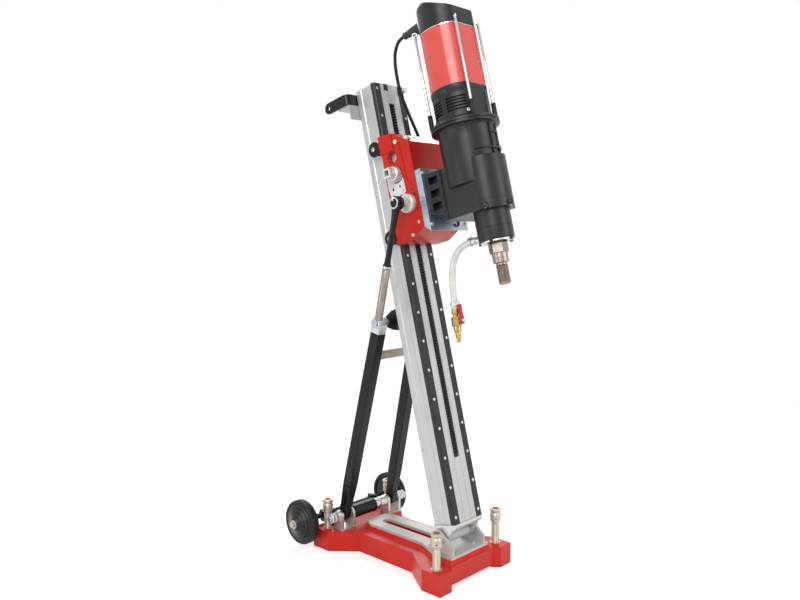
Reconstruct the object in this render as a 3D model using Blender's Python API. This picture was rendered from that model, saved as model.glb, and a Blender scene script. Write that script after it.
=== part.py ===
"""Core drill rig: floor stand, tilting column, geared carriage and wet drill motor.

Column pieces are drawn in a frame that tilts with the column. Its origin is the hinge pin.
In that frame x runs across, f runs forward from the rail faces and s runs up from the
column's lower end; column_point() turns (x, f, s) into local coordinates.
"""

import math

import bmesh
import bpy
from mathutils import Matrix, Vector

GAP = 0.0003
FINE = 24
ROUND = 16
SMALL = 12

# Stand
TILT = math.radians(14.27)
HINGE_Z = 0.108
BASE_CENTRE_Y = 0.172
BASE_WIDTH = 0.2994
BASE_LENGTH = 0.488
PAD_TOP = 0.0565
CORNER_LENGTH = 0.0636
CORNER_WIDTH = 0.0456
END_RECESS = 0.015
WAIST_HALF = 0.0891
WAIST_FRONT = -0.0893
WAIST_REAR = 0.1124
PLATEAU_TOP = 0.0657
DECK_TOP = 0.074
SLOT_HALF = 0.014
SLOT_FRONT = -0.136
SLOT_REAR = 0.088
SCREW_X = 0.1243
SCREW_Y = 0.2091
SCREW_RADIUS = 0.011
SCREW_HEAD_RADIUS = 0.016
SCREW_HEAD = 0.036
FRONT_SCREW_TOP = 0.1525
REAR_SCREW_TOP = 0.1414
LUG_INNER = 0.060
LUG_THICKNESS = 0.008
LUG_REACH = 0.044
LUG_ROOT = 0.003
PIN_RADIUS = 0.0097

# Wheels
AXLE_Y = 0.257
AXLE_Z = 0.0763
AXLE_RADIUS = 0.008
WHEEL_RADIUS = 0.0637
WHEEL_INNER = 0.169
TYRE_WIDTH = 0.025
TYRE_DEPTH = 0.011
AXLE_ARM_X = 0.100

# Brace
PIVOT_Y = 0.169
PIVOT_Z = 0.098
PIVOT_RADIUS = 0.008
BRACE_FOOT_X = 0.0950
BRACE_TOP_X = 0.0785
BRACE_TUBE = 0.031
BRACE_LENGTH = 0.5838
BRACE_LEAN = math.radians(12.92)
CROSS_PLATE_AT = 0.487

# Column, in (x, f, s)
FACE_TO_PIN = 0.0522
END_TO_PIN = 0.0347
COLUMN_LENGTH = 1.205
COLUMN_HALF = 0.052
COLUMN_DEPTH = 0.080
COLUMN_WALL = 0.005
RAIL_INNER = 0.035
RAIL_OUTER = 0.059
RAIL_DEPTH = 0.012

# Feed: rack and gears of one module
MODULE = 0.0025
RACK_HALF = 0.010
RACK_DEPTH = 0.016
RACK_START = 0.168
RACK_TEETH = 125
PINION_TEETH = 32
IDLER_TEETH = 14
DRIVE_TEETH = 14
GEAR_WIDTH = 0.018
TOOTH_SLACK = 0.00045

# Carriage, in (x, f, s)
CARRIAGE_HALF = 0.076
CHEEK = 0.014
CARRIAGE_BOTTOM = 0.748
CARRIAGE_TOP = 1.046
CARRIAGE_FRONT = 0.101
PINION_S = 0.933
DRIVE_F = 0.0655
DRIVE_S = 0.845
SHAFT_RADIUS = 0.012
ROLLER_RADIUS = 0.016
ROLLER_S = (0.773, 1.021)
ROLLER_CAP_RADIUS = 0.021
SPACER_DEPTH = 0.020
SPACER_HALF = 0.075

# Crank
CRANK_X = -0.124
CRANK_LENGTH = 0.316
CRANK_LEAN = math.radians(26.7)
DRIVE_SQUARE = 0.00635

# Motor, in (x, f, s)
MOTOR_F = 0.2325
SPINDLE_F = 0.263
SPINDLE_END = 0.586
GEARBOX_RADIUS = 0.0735
GEARBOX_TOP = 1.006
GEARBOX_FLOOR = 0.850
HOUSING_BOTTOM = 0.695
HOUSING_RADIUS = 0.046
BLOCK_BOTTOM = 0.772
LOWER_TOP = 1.096
SLEEVE_TOP = 1.250
CAP_TOP = 1.344
SLEEVE_RADIUS = 0.0718
SLEEVE_WALL = 0.0055
STATOR_RADIUS = 0.064
ROTOR_RADIUS = 0.037
ARMATURE_PINION = 10
COUNTER_WHEEL = 26
COUNTER_PINION = 14
SPINDLE_WHEEL = 28
GEARBOX_MODULE = 0.002

# Cord and hose
CORD_RADIUS = 0.0045
COIL_RADIUS = 0.050
COIL_TURNS = 5
COIL_X = 0.090
COIL_S = 0.940
COIL_F = 0.012
HOSE_RADIUS = 0.0085

LOOKS = {
    "red_paint": ((0.47, 0.012, 0.004), 0.35, 0.0),
    "deck_grey": ((0.55, 0.55, 0.54), 0.45, 0.6),
    "zinc": ((0.50, 0.54, 0.60), 0.38, 0.9),
    "nickel": ((0.58, 0.50, 0.40), 0.36, 0.9),
    "steel": ((0.45, 0.43, 0.41), 0.32, 1.0),
    "black_paint": ((0.012, 0.012, 0.013), 0.35, 0.0),
    "rail_black": ((0.02, 0.02, 0.022), 0.45, 0.4),
    "anodised": ((0.62, 0.62, 0.64), 0.40, 0.8),
    "rubber": ((0.015, 0.015, 0.015), 0.75, 0.0),
    "motor_plastic": ((0.035, 0.036, 0.042), 0.5, 0.0),
    "sleeve_red": ((0.60, 0.035, 0.03), 0.28, 0.0),
    "copper": ((0.55, 0.22, 0.10), 0.4, 1.0),
    "brass": ((0.65, 0.42, 0.13), 0.3, 1.0),
    "hose_clear": ((0.72, 0.72, 0.68), 0.3, 0.0),
    "valve_red": ((0.50, 0.02, 0.03), 0.4, 0.0),
    "level_green": ((0.60, 0.62, 0.10), 0.2, 0.0),
}


def clear_scene():
    for item in list(bpy.data.objects):
        bpy.data.objects.remove(item, do_unlink=True)


def make_looks():
    made = {}
    for name, (colour, roughness, metallic) in LOOKS.items():
        look = bpy.data.materials.new(name)
        look.use_nodes = True
        shader = look.node_tree.nodes["Principled BSDF"]
        shader.inputs["Base Color"].default_value = (*colour, 1.0)
        shader.inputs["Roughness"].default_value = roughness
        shader.inputs["Metallic"].default_value = metallic
        made[name] = look
    return made


def empty(name, location, lean=0.0, parent=None):
    """A frame: lean tips its z axis from upright towards the rear."""
    item = bpy.data.objects.new(name, None)
    item.empty_display_size = 0.05
    item.location = location
    item.rotation_euler = (-lean, 0.0, 0.0)
    item.parent = parent
    bpy.context.scene.collection.objects.link(item)
    return item


def column_point(x, f, s):
    return Vector((x, -FACE_TO_PIN - f, END_TO_PIN + s))


def side_outline(points):
    """(f, s) points as (y, z) for a prism along x."""
    return [tuple(column_point(0.0, f, s))[1:] for f, s in points]


def plan_outline(points):
    """(x, f) points as (x, y) for a prism along the column."""
    return [tuple(column_point(x, f, 0.0))[:2] for x, f in points]


def along(s):
    return END_TO_PIN + s


def circle(cu, cv, radius, count, start=0.0, sweep=math.tau):
    """Points of a circle, or of an arc with both ends."""
    whole = abs(sweep - math.tau) < 1e-6
    steps = count if whole else count - 1
    found = []
    for i in range(count):
        angle = start + sweep * i / steps
        found.append((cu + radius * math.cos(angle), cv + radius * math.sin(angle)))
    return found


def mirrored(right_side):
    """A whole outline from the points of its right side, listed front to rear."""
    return right_side + [(-x, y) for x, y in reversed(right_side)]


def outward(bm):
    bmesh.ops.recalc_face_normals(bm, faces=bm.faces)
    return bm


def loft(low, low_at, high, high_at, axis="Z"):
    """A solid between two outlines with equal point counts."""
    bm = bmesh.new()
    place = {
        "X": lambda u, v, w: (w, u, v),
        "Y": lambda u, v, w: (u, w, v),
        "Z": lambda u, v, w: (u, v, w),
    }[axis]
    bottom = [bm.verts.new(place(u, v, low_at)) for u, v in low]
    top = [bm.verts.new(place(u, v, high_at)) for u, v in high]
    bm.faces.new(bottom)
    bm.faces.new(top)
    for i in range(len(low)):
        j = (i + 1) % len(low)
        bm.faces.new((bottom[i], bottom[j], top[j], top[i]))
    return outward(bm)


def prism(outline, low, high, axis="Z"):
    return loft(outline, low, outline, high, axis)


def box(low, high):
    outline = [(low[0], low[1]), (high[0], low[1]), (high[0], high[1]), (low[0], high[1])]
    return prism(outline, low[2], high[2])


def column_box(x0, x1, f0, f1, s0, s1):
    a = column_point(x0, f1, s0)
    b = column_point(x1, f0, s1)
    return box(a, b)


def turned(profile, centre, axis, count=ROUND, ring=False, phase=0.0):
    """A lathed solid. profile holds (radius, height) pairs; ring joins its last pair to its first."""
    direction = Vector(axis).normalized()
    turn = Vector((0, 0, 1)).rotation_difference(direction).to_matrix()
    bm = bmesh.new()
    rows = []
    for radius, height in profile:
        row = []
        for i in range(count):
            angle = phase + math.tau * i / count
            point = Vector((radius * math.cos(angle), radius * math.sin(angle), height))
            row.append(bm.verts.new(Vector(centre) + turn @ point))
        rows.append(row)
    pairs = list(zip(rows, rows[1:]))
    if ring:
        pairs.append((rows[-1], rows[0]))
    else:
        bm.faces.new(rows[0])
        bm.faces.new(rows[-1])
    for lower, upper in pairs:
        for i in range(count):
            j = (i + 1) % count
            bm.faces.new((lower[i], lower[j], upper[j], upper[i]))
    return outward(bm)


def cylinder(radius, low, high, centre, axis, count=ROUND, phase=0.0):
    return turned([(radius, low), (radius, high)], centre, axis, count, phase=phase)


def tube(outer, inner, low, high, centre, axis, count=ROUND):
    profile = [(inner, low), (outer, low), (outer, high), (inner, high)]
    return turned(profile, centre, axis, count, ring=True)


def together(parts):
    """One mesh from several that don't touch each other."""
    whole = bmesh.new()
    for part in parts:
        mesh = bpy.data.meshes.new("part")
        part.to_mesh(mesh)
        part.free()
        whole.from_mesh(mesh)
        bpy.data.meshes.remove(mesh)
    return whole


def mesh_object(name, bm, origin, parent):
    """An object whose mesh is drawn in the parent's frame and whose origin is the given point."""
    shift = Vector(origin)
    bmesh.ops.translate(bm, verts=bm.verts, vec=-shift)
    mesh = bpy.data.meshes.new(name)
    bm.to_mesh(mesh)
    bm.free()
    mesh.shade_smooth()
    mesh.set_sharp_from_angle(angle=math.radians(35))
    item = bpy.data.objects.new(name, mesh)
    item.parent = parent
    item.location = shift
    bpy.context.scene.collection.objects.link(item)
    return item


def combine(item, bm, operation, index, parent):
    helper = mesh_object(f"{item.name}_{operation.lower()}_{index}", bm, (0, 0, 0), parent)
    helper.hide_render = True
    helper.display_type = "WIRE"
    modifier = item.modifiers.new(operation.title(), "BOOLEAN")
    modifier.operation = operation
    modifier.solver = "EXACT"
    modifier.object = helper


def build(name, look, body, parent=None, origin=(0, 0, 0), add=(), cut=()):
    """A named piece: body, with every mesh in add joined to it and every mesh in cut taken away."""
    item = mesh_object(name, body, origin, parent)
    item.data.materials.append(looks[look])
    for index, bm in enumerate(add):
        combine(item, bm, "UNION", index, parent)
    for index, bm in enumerate(cut):
        combine(item, bm, "DIFFERENCE", index, parent)
    return item


def involute(radius, base):
    """Polar angle of the involute of a base circle at this radius."""
    if radius <= base:
        return 0.0
    ratio = base / radius
    return math.sqrt(1 / ratio**2 - 1) - math.acos(ratio)


def gear_outline(teeth, module, phase=0.0):
    """Spur gear with straight flanks that meet the 20 degree involute at root and tip.

    A tooth centre lies at angle phase.
    """
    pitch = teeth * module / 2
    base = pitch * math.cos(math.radians(20))
    tip = pitch + 0.9 * module
    root = pitch - 1.2 * module
    half = math.pi / (2 * teeth) - TOOTH_SLACK / (2 * pitch)
    outline = []
    for k in range(teeth):
        centre = phase + math.tau * k / teeth
        flank = []
        for radius in (root, tip):
            offset = half + involute(pitch, base) - involute(radius, base)
            flank.append((radius, max(offset, 0.004)))
        for radius, offset in flank:
            outline.append((radius * math.cos(centre - offset), radius * math.sin(centre - offset)))
        for radius, offset in reversed(flank):
            outline.append((radius * math.cos(centre + offset), radius * math.sin(centre + offset)))
    return outline


def moved(outline, du, dv):
    return [(u + du, v + dv) for u, v in outline]


def mating_phase(angle, phase, radius, pitch, other_radius):
    """Phase of a gear whose teeth fill the spaces of one at the given phase, along angle."""
    tooth = radius * (phase - angle)
    return angle + math.pi - (tooth + pitch / 2) / other_radius


def meeting_point(a, ra, b, rb, side):
    """Where circles about a and b cross, on the given side of the line from a to b."""
    ax, ay = a
    dx, dy = b[0] - ax, b[1] - ay
    distance = math.hypot(dx, dy)
    near = (ra**2 - rb**2 + distance**2) / (2 * distance)
    height = side * math.sqrt(max(ra**2 - near**2, 0.0))
    ux, uy = dx / distance, dy / distance
    return ax + near * ux - height * uy, ay + near * uy + height * ux


def smooth_path(points, steps):
    """Catmull-Rom points through the given ones."""
    ends = [points[0] * 2 - points[1]] + list(points) + [points[-1] * 2 - points[-2]]
    found = []
    for i in range(1, len(ends) - 2):
        p0, p1, p2, p3 = ends[i - 1 : i + 3]
        for k in range(steps):
            t = k / steps
            found.append(
                0.5
                * (
                    2 * p1
                    + (p2 - p0) * t
                    + (2 * p0 - 5 * p1 + 4 * p2 - p3) * t**2
                    + (3 * p1 - p0 - 3 * p2 + p3) * t**3
                )
            )
    found.append(points[-1])
    return found


def cord(name, look, points, radius, resolution, parent):
    """A round closed tube along a path."""
    curve = bpy.data.curves.new(name, "CURVE")
    curve.dimensions = "3D"
    curve.bevel_depth = radius
    curve.bevel_resolution = resolution
    curve.use_fill_caps = True
    line = curve.splines.new("POLY")
    line.points.add(len(points) - 1)
    for point, spot in zip(line.points, points):
        point.co = (*spot, 1.0)
    curve.materials.append(looks[look])
    item = bpy.data.objects.new(name, curve)
    item.parent = parent
    bpy.context.scene.collection.objects.link(item)
    return item


# ---------------------------------------------------------------- stand


def base_outline():
    half_w = BASE_WIDTH / 2
    half_l = BASE_LENGTH / 2
    inner = half_w - CORNER_WIDTH
    step = inner - END_RECESS
    shoulder = half_l - CORNER_LENGTH
    right = [
        (step, -half_l + END_RECESS),
        (inner, -half_l),
        (half_w, -half_l),
        (half_w, -shoulder),
        (WAIST_HALF, WAIST_FRONT),
        (WAIST_HALF, WAIST_REAR),
        (half_w, shoulder),
        (half_w, half_l),
        (inner, half_l),
        (step, half_l - END_RECESS),
    ]
    return mirrored(right)


def deck_outline(margin):
    front = -BASE_LENGTH / 2 + END_RECESS + 0.009
    right = [
        (0.076 + margin, front - margin * 0.5),
        (0.076 + margin, -0.150),
        (0.052 + margin, -0.095),
        (0.050 + margin, 0.108 + margin),
        (0.036 + margin, 0.136 + margin),
    ]
    return mirrored(right)


def slot_outline(half):
    rear = circle(0.0, SLOT_REAR, half, 9, 0.0, math.pi)
    front = circle(0.0, SLOT_FRONT, half, 9, math.pi, math.pi)
    return rear + front


def corners():
    for y_side, top in ((-1, FRONT_SCREW_TOP), (1, REAR_SCREW_TOP)):
        for x_side in (-1, 1):
            yield x_side * SCREW_X, y_side * SCREW_Y, top


def make_base(frame):
    up = (0, 0, 1)
    under = 0.008
    step = BASE_WIDTH / 2 - CORNER_WIDTH - END_RECESS
    half_l = BASE_LENGTH / 2
    holes = [
        cylinder(SCREW_RADIUS + GAP, -0.01, PAD_TOP + 0.01, (x, y, 0), up, ROUND)
        for x, y, _ in corners()
    ]
    notches = [
        box((-step, -half_l - 0.01, -0.01), (step, -half_l + 0.045, under)),
        box((-step, half_l - 0.045, -0.01), (step, half_l + 0.01, under)),
    ]
    slot = prism(slot_outline(SLOT_HALF + 0.003), -0.01, PLATEAU_TOP + 0.01)
    build(
        "base_plate",
        "red_paint",
        prism(base_outline(), 0.0, PAD_TOP),
        frame,
        add=[loft(deck_outline(0.012), PAD_TOP - 0.004, deck_outline(0.002), PLATEAU_TOP)],
        cut=[slot, together(holes + notches)],
    )


def lug_outline():
    """(y, z) of a column lug, measured in the base frame."""
    pin_y = -BASE_CENTRE_Y
    top = circle(pin_y + 0.010, HINGE_Z + 0.006, 0.018, 9, math.radians(140), math.radians(-140))
    front, rear = pin_y - LUG_REACH, pin_y + LUG_REACH
    root = DECK_TOP - LUG_ROOT
    return [(front, DECK_TOP + 0.022)] + top + [(rear, root), (front, root)]


def make_deck(frame):
    pin = (0, -BASE_CENTRE_Y, HINGE_Z)
    lugs = []
    for side in (-1, 1):
        ends = sorted((side * LUG_INNER, side * (LUG_INNER + LUG_THICKNESS)))
        lugs.append(prism(lug_outline(), ends[0], ends[1], "X"))
    build(
        "base_deck",
        "deck_grey",
        prism(deck_outline(0.0), PLATEAU_TOP + GAP, DECK_TOP),
        frame,
        add=[together(lugs)],
        cut=[
            prism(slot_outline(SLOT_HALF), PLATEAU_TOP - 0.01, DECK_TOP + 0.01),
            cylinder(PIN_RADIUS + GAP, -0.09, 0.09, pin, (1, 0, 0)),
        ],
    )
    outer = LUG_INNER + LUG_THICKNESS + GAP
    head = PIN_RADIUS + 0.005
    profile = [
        (head, -outer - 0.006),
        (head, -outer),
        (PIN_RADIUS, -outer),
        (PIN_RADIUS, outer),
        (head, outer),
        (head, outer + 0.006),
    ]
    build("column_hinge_pin", "steel", turned(profile, pin, (1, 0, 0)), frame, origin=pin)


def make_levelling_screws(frame):
    names = ("front_left", "front_right", "rear_left", "rear_right")
    for name, (x, y, top) in zip(names, corners()):
        neck = top - SCREW_HEAD
        profile = [
            (SCREW_RADIUS * 0.5, 0.002),
            (SCREW_RADIUS, 0.008),
            (SCREW_RADIUS, neck),
            (SCREW_HEAD_RADIUS - 0.002, neck),
            (SCREW_HEAD_RADIUS, neck + 0.006),
            (SCREW_HEAD_RADIUS, top),
        ]
        origin = (x, y, PAD_TOP)
        build(
            f"levelling_screw_{name}",
            "nickel",
            turned(profile, (x, y, 0), (0, 0, 1)),
            frame,
            origin=origin,
            cut=[cylinder(0.009, top - 0.016, top + 0.01, (x, y, 0), (0, 0, 1), 6)],
        )


def clevis_outline():
    top = circle(PIVOT_Y, PIVOT_Z, 0.0175, 9, math.pi, -math.pi)
    foot = PAD_TOP + GAP
    return [(PIVOT_Y - 0.0175, foot)] + top + [(PIVOT_Y + 0.0175, foot)]


def make_rear_clevises(frame):
    inner = BRACE_FOOT_X - BRACE_TUBE / 2 - 0.011
    outer = BRACE_FOOT_X + BRACE_TUBE / 2 + 0.011
    plate = 0.008
    for name, side in (("left", -1), ("right", 1)):
        low, high = sorted((side * inner, side * outer))
        body = box(
            (low, PIVOT_Y - 0.019, PAD_TOP + GAP),
            (high, PIVOT_Y + 0.019, PAD_TOP + 0.006),
        )
        cheeks = [
            prism(clevis_outline(), low, low + plate, "X"),
            prism(clevis_outline(), high - plate, high, "X"),
        ]
        hole = cylinder(PIVOT_RADIUS + GAP, -0.2, 0.2, (0, PIVOT_Y, PIVOT_Z), (1, 0, 0))
        build(f"rear_clevis_{name}", "deck_grey", body, frame, add=cheeks, cut=[hole])
    return inner, outer


def nut_stack(start, side):
    """(radius, x) pairs of a washer, a lock ring and two nuts, from start outwards."""
    steps = [(0.016, 0.003), (0.013, 0.003), (0.0145, 0.010), (0.012, 0.003), (0.014, 0.009)]
    profile = []
    at = start
    for radius, length in steps:
        profile.append((radius, side * at))
        at += length
        profile.append((radius, side * at))
    return profile, at


def make_pivot_rod(frame, inner, outer):
    centre = (0, PIVOT_Y, PIVOT_Z)
    left, left_end = nut_stack(outer + GAP, -1)
    right, right_end = nut_stack(outer + GAP, 1)
    collar = 0.020
    profile = [(PIVOT_RADIUS, -left_end - 0.006), (PIVOT_RADIUS, -left_end)]
    profile += left[::-1]
    profile += [
        (PIVOT_RADIUS, -outer - GAP),
        (PIVOT_RADIUS, collar),
        (0.016, collar),
        (0.016, collar + 0.012),
        (0.0125, collar + 0.014),
        (0.0125, collar + 0.020),
        (0.0165, collar + 0.022),
        (0.0165, inner - GAP),
        (PIVOT_RADIUS, inner - GAP),
        (PIVOT_RADIUS, outer + GAP),
    ]
    profile += right + [(PIVOT_RADIUS, right_end), (PIVOT_RADIUS, right_end + 0.006)]
    rod = turned(profile, centre, (1, 0, 0), 8)
    build("brace_pivot_rod", "zinc", rod, frame, origin=centre)
    bore = PIVOT_RADIUS + GAP
    sleeve = tube(0.0195, bore, -inner + GAP, collar - GAP, centre, (1, 0, 0), ROUND)
    build("rear_cross_tube", "black_paint", sleeve, frame, origin=centre)


def make_axle(frame):
    centre = (0, AXLE_Y, AXLE_Z)
    arms = []
    for side in (-1, 1):
        x = side * AXLE_ARM_X
        outline = [
            (AXLE_Y - 0.058, PAD_TOP + GAP),
            (AXLE_Y + 0.006, PAD_TOP + GAP),
            (AXLE_Y + 0.015, AXLE_Z - 0.004),
            (AXLE_Y + 0.012, AXLE_Z + 0.013),
            (AXLE_Y - 0.012, AXLE_Z + 0.013),
            (AXLE_Y - 0.020, AXLE_Z - 0.006),
            (AXLE_Y - 0.036, PAD_TOP + 0.008),
            (AXLE_Y - 0.058, PAD_TOP + 0.008),
        ]
        arms.append(prism(outline, x - 0.005, x + 0.005, "X"))
    reach = WHEEL_INNER + TYRE_WIDTH + 0.010
    shaft = turned([(AXLE_RADIUS, -reach), (AXLE_RADIUS, reach)], centre, (1, 0, 0), SMALL)
    build("wheel_axle", "black_paint", shaft, frame, origin=centre, add=[together(arms)])


def make_wheels(frame):
    rim = WHEEL_RADIUS - TYRE_DEPTH
    for name, side in (("left", -1), ("right", 1)):
        centre = (side * WHEEL_INNER, AXLE_Y, AXLE_Z)
        out = (side, 0, 0)
        hub = [
            (0.016, -0.006),
            (0.016, 0.004),
            (rim, 0.004),
            (rim, TYRE_WIDTH),
            (rim - 0.010, TYRE_WIDTH + 0.004),
            (0.026, TYRE_WIDTH + 0.014),
            (0.018, TYRE_WIDTH + 0.022),
        ]
        bore = cylinder(
            AXLE_RADIUS + GAP, -0.02, TYRE_WIDTH + 0.0105, centre, out, SMALL
        )
        bolt = cylinder(0.0075, TYRE_WIDTH + 0.018, TYRE_WIDTH + 0.030, centre, out, 6)
        build(
            f"wheel_hub_{name}",
            "motor_plastic",
            turned(hub, centre, out, FINE),
            frame,
            origin=centre,
            add=[bolt],
            cut=[bore],
        )
        shoulder = 0.004
        tyre = [
            (rim + GAP, 0.0),
            (WHEEL_RADIUS - shoulder, 0.0),
            (WHEEL_RADIUS, shoulder),
            (WHEEL_RADIUS, TYRE_WIDTH - shoulder),
            (WHEEL_RADIUS - shoulder, TYRE_WIDTH),
            (rim + GAP, TYRE_WIDTH),
        ]
        ring = turned(tyre, centre, out, FINE, ring=True)
        build(f"tyre_{name}", "rubber", ring, frame, centre)


# ---------------------------------------------------------------- column


def make_profile(frame):
    back = -COLUMN_DEPTH
    seat = -RAIL_DEPTH - GAP
    inset = RAIL_INNER - GAP
    right = [
        (inset, -0.001),
        (inset, seat),
        (COLUMN_HALF, seat),
        (COLUMN_HALF, -0.034),
        (COLUMN_HALF - 0.002, -0.037),
        (COLUMN_HALF - 0.002, -0.058),
        (COLUMN_HALF, -0.061),
        (COLUMN_HALF, back),
    ]
    hollow_half = COLUMN_HALF - 0.002 - COLUMN_WALL
    hollow_front = -RACK_DEPTH - GAP - COLUMN_WALL
    hollow = column_box(
        -hollow_half, hollow_half, back + COLUMN_WALL, hollow_front, -0.01, COLUMN_LENGTH + 0.01
    )
    rack_top = RACK_START + RACK_TEETH * math.pi * MODULE
    pocket = column_box(
        -RACK_HALF - GAP,
        RACK_HALF + GAP,
        -RACK_DEPTH - GAP,
        0.01,
        RACK_START - GAP,
        rack_top + GAP,
    )
    build(
        "column_profile",
        "anodised",
        prism(plan_outline(mirrored(right)), along(0.0), along(COLUMN_LENGTH)),
        frame,
        origin=(0, -FACE_TO_PIN, END_TO_PIN),
        cut=[hollow, pocket],
    )


def make_foot(frame):
    half = 0.057
    plate = [
        (0.001, -GAP),
        (0.001, -0.007),
        (-0.004, -0.013),
        (-COLUMN_DEPTH + 0.004, -0.013),
        (-COLUMN_DEPTH, -0.009),
        (-COLUMN_DEPTH, -GAP),
    ]
    pin = (0, 0, 0)
    ear = [(-0.010, -0.008), (-0.020, -0.022)]
    ear += circle(-FACE_TO_PIN, -END_TO_PIN, 0.018, 9, math.radians(-20), math.radians(-140))
    ear += [(-0.076, -0.008)]
    ears = [
        prism(side_outline(ear), -half, -half + 0.016, "X"),
        prism(side_outline(ear), half - 0.016, half, "X"),
    ]
    build(
        "column_foot",
        "deck_grey",
        prism(side_outline(plate), -half, half, "X"),
        frame,
        origin=pin,
        add=[together(ears)],
        cut=[cylinder(PIN_RADIUS + GAP, -0.09, 0.09, pin, (1, 0, 0))],
    )


def make_rails(frame):
    for name, side in (("left", -1), ("right", 1)):
        outline = [
            (side * RAIL_INNER, 0.0),
            (side * (RAIL_OUTER - 0.003), 0.0),
            (side * RAIL_OUTER, -0.003),
            (side * RAIL_OUTER, -RAIL_DEPTH),
            (side * RAIL_INNER, -RAIL_DEPTH),
        ]
        build(
            f"guide_rail_{name}",
            "rail_black",
            prism(plan_outline(outline), along(0.0), along(COLUMN_LENGTH - 0.001)),
            frame,
            origin=column_point(side * (RAIL_INNER + RAIL_OUTER) / 2, 0.0, 0.0),
        )


def rack_phase():
    """Height of the first tooth's centre, set so that one tooth faces the pinion's axis."""
    pitch = math.pi * MODULE
    return RACK_START + (PINION_S - RACK_START) % pitch


def make_rack(frame):
    pitch = math.pi * MODULE
    first = rack_phase()
    end = RACK_START + RACK_TEETH * pitch
    slope = math.tan(math.radians(20))
    half = pitch / 4 - TOOTH_SLACK / 2
    add = 0.9 * MODULE
    depth = 1.2 * MODULE
    line = -MODULE
    outline = [(-RACK_DEPTH, RACK_START)]
    outline.append((line - depth, RACK_START))
    for k in range(RACK_TEETH):
        middle = first + k * pitch
        foot = half + depth * slope
        tip = half - add * slope
        if middle - foot < RACK_START + 0.0005 or middle + foot > end - 0.0005:
            continue
        outline += [
            (line - depth, middle - foot),
            (line + add, middle - tip),
            (line + add, middle + tip),
            (line - depth, middle + foot),
        ]
    outline += [(line - depth, end), (-RACK_DEPTH, end)]
    build(
        "gear_rack",
        "rail_black",
        prism(side_outline(outline), -RACK_HALF, RACK_HALF, "X"),
        frame,
        origin=column_point(0, -RACK_DEPTH, RACK_START),
    )


def make_column_top(frame):
    back = -COLUMN_DEPTH - GAP
    shelf = [
        (back, 1.1665),
        (back, 1.126),
        (back - 0.004, 1.126),
        (back - 0.004, 1.148),
        (back - 0.046, 1.163),
        (back - 0.046, 1.1665),
    ]
    build(
        "handle_bracket",
        "deck_grey",
        prism(side_outline(shelf), -0.085, 0.085, "X"),
        frame,
        origin=column_point(0, back, 1.1665),
    )
    thickness = 0.006
    reach = 0.077
    half = 0.091
    low, high = 1.1668, 1.1978
    end = circle(back - reach, (low + high) / 2, (high - low) / 2, 9, math.pi / 2, math.pi)
    arm = [(back, low)] + [(f, s) for f, s in reversed(end)] + [(back, high)]
    arms = [
        prism(side_outline(arm), -half, -half + thickness, "X"),
        prism(side_outline(arm), half - thickness, half, "X"),
    ]
    bar = column_box(-half, half, back - thickness, back, low, high)
    eye = column_point(0, back - reach, (low + high) / 2)
    build(
        "top_handle",
        "black_paint",
        bar,
        frame,
        origin=column_point(0, back, low),
        add=[together(arms)],
        cut=[cylinder(0.006, -0.12, 0.12, eye, (1, 0, 0), SMALL)],
    )


def make_brace_bracket(frame):
    back = -COLUMN_DEPTH - GAP
    rod_f, rod_s = brace_top_on_column()
    outline = [
        (back, rod_s - 0.030),
        (back, rod_s + 0.030),
        (back - 0.022, rod_s + 0.026),
        (rod_f - 0.010, rod_s + 0.013),
        (rod_f - 0.016, rod_s),
        (rod_f - 0.010, rod_s - 0.013),
        (back - 0.022, rod_s - 0.026),
    ]
    half = 0.048
    slot = column_box(-0.030, 0.030, rod_f - 0.03, back - 0.012, rod_s - 0.05, rod_s + 0.05)
    rod = cylinder(PIVOT_RADIUS, -0.052, 0.052, column_point(0, rod_f, rod_s), (1, 0, 0), SMALL)
    build(
        "brace_bracket",
        "black_paint",
        prism(side_outline(outline), -half, half, "X"),
        frame,
        origin=column_point(0, rod_f, rod_s),
        add=[rod],
        cut=[slot],
    )


def brace_top_on_column():
    """(f, s) of the braces' upper pivot while the rig stands as drawn."""
    y = BASE_CENTRE_Y + PIVOT_Y - BRACE_LENGTH * math.sin(BRACE_LEAN)
    z = PIVOT_Z + BRACE_LENGTH * math.cos(BRACE_LEAN) - HINGE_Z
    forward = -y * math.cos(TILT) + z * math.sin(TILT)
    upward = y * math.sin(TILT) + z * math.cos(TILT)
    return forward - FACE_TO_PIN, upward - END_TO_PIN


def brace_centre_x(height):
    return BRACE_FOOT_X + (BRACE_TOP_X - BRACE_FOOT_X) * height / BRACE_LENGTH


def square_about(x, half):
    return [(x - half, -half), (x + half, -half), (x + half, half), (x - half, half)]


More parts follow.
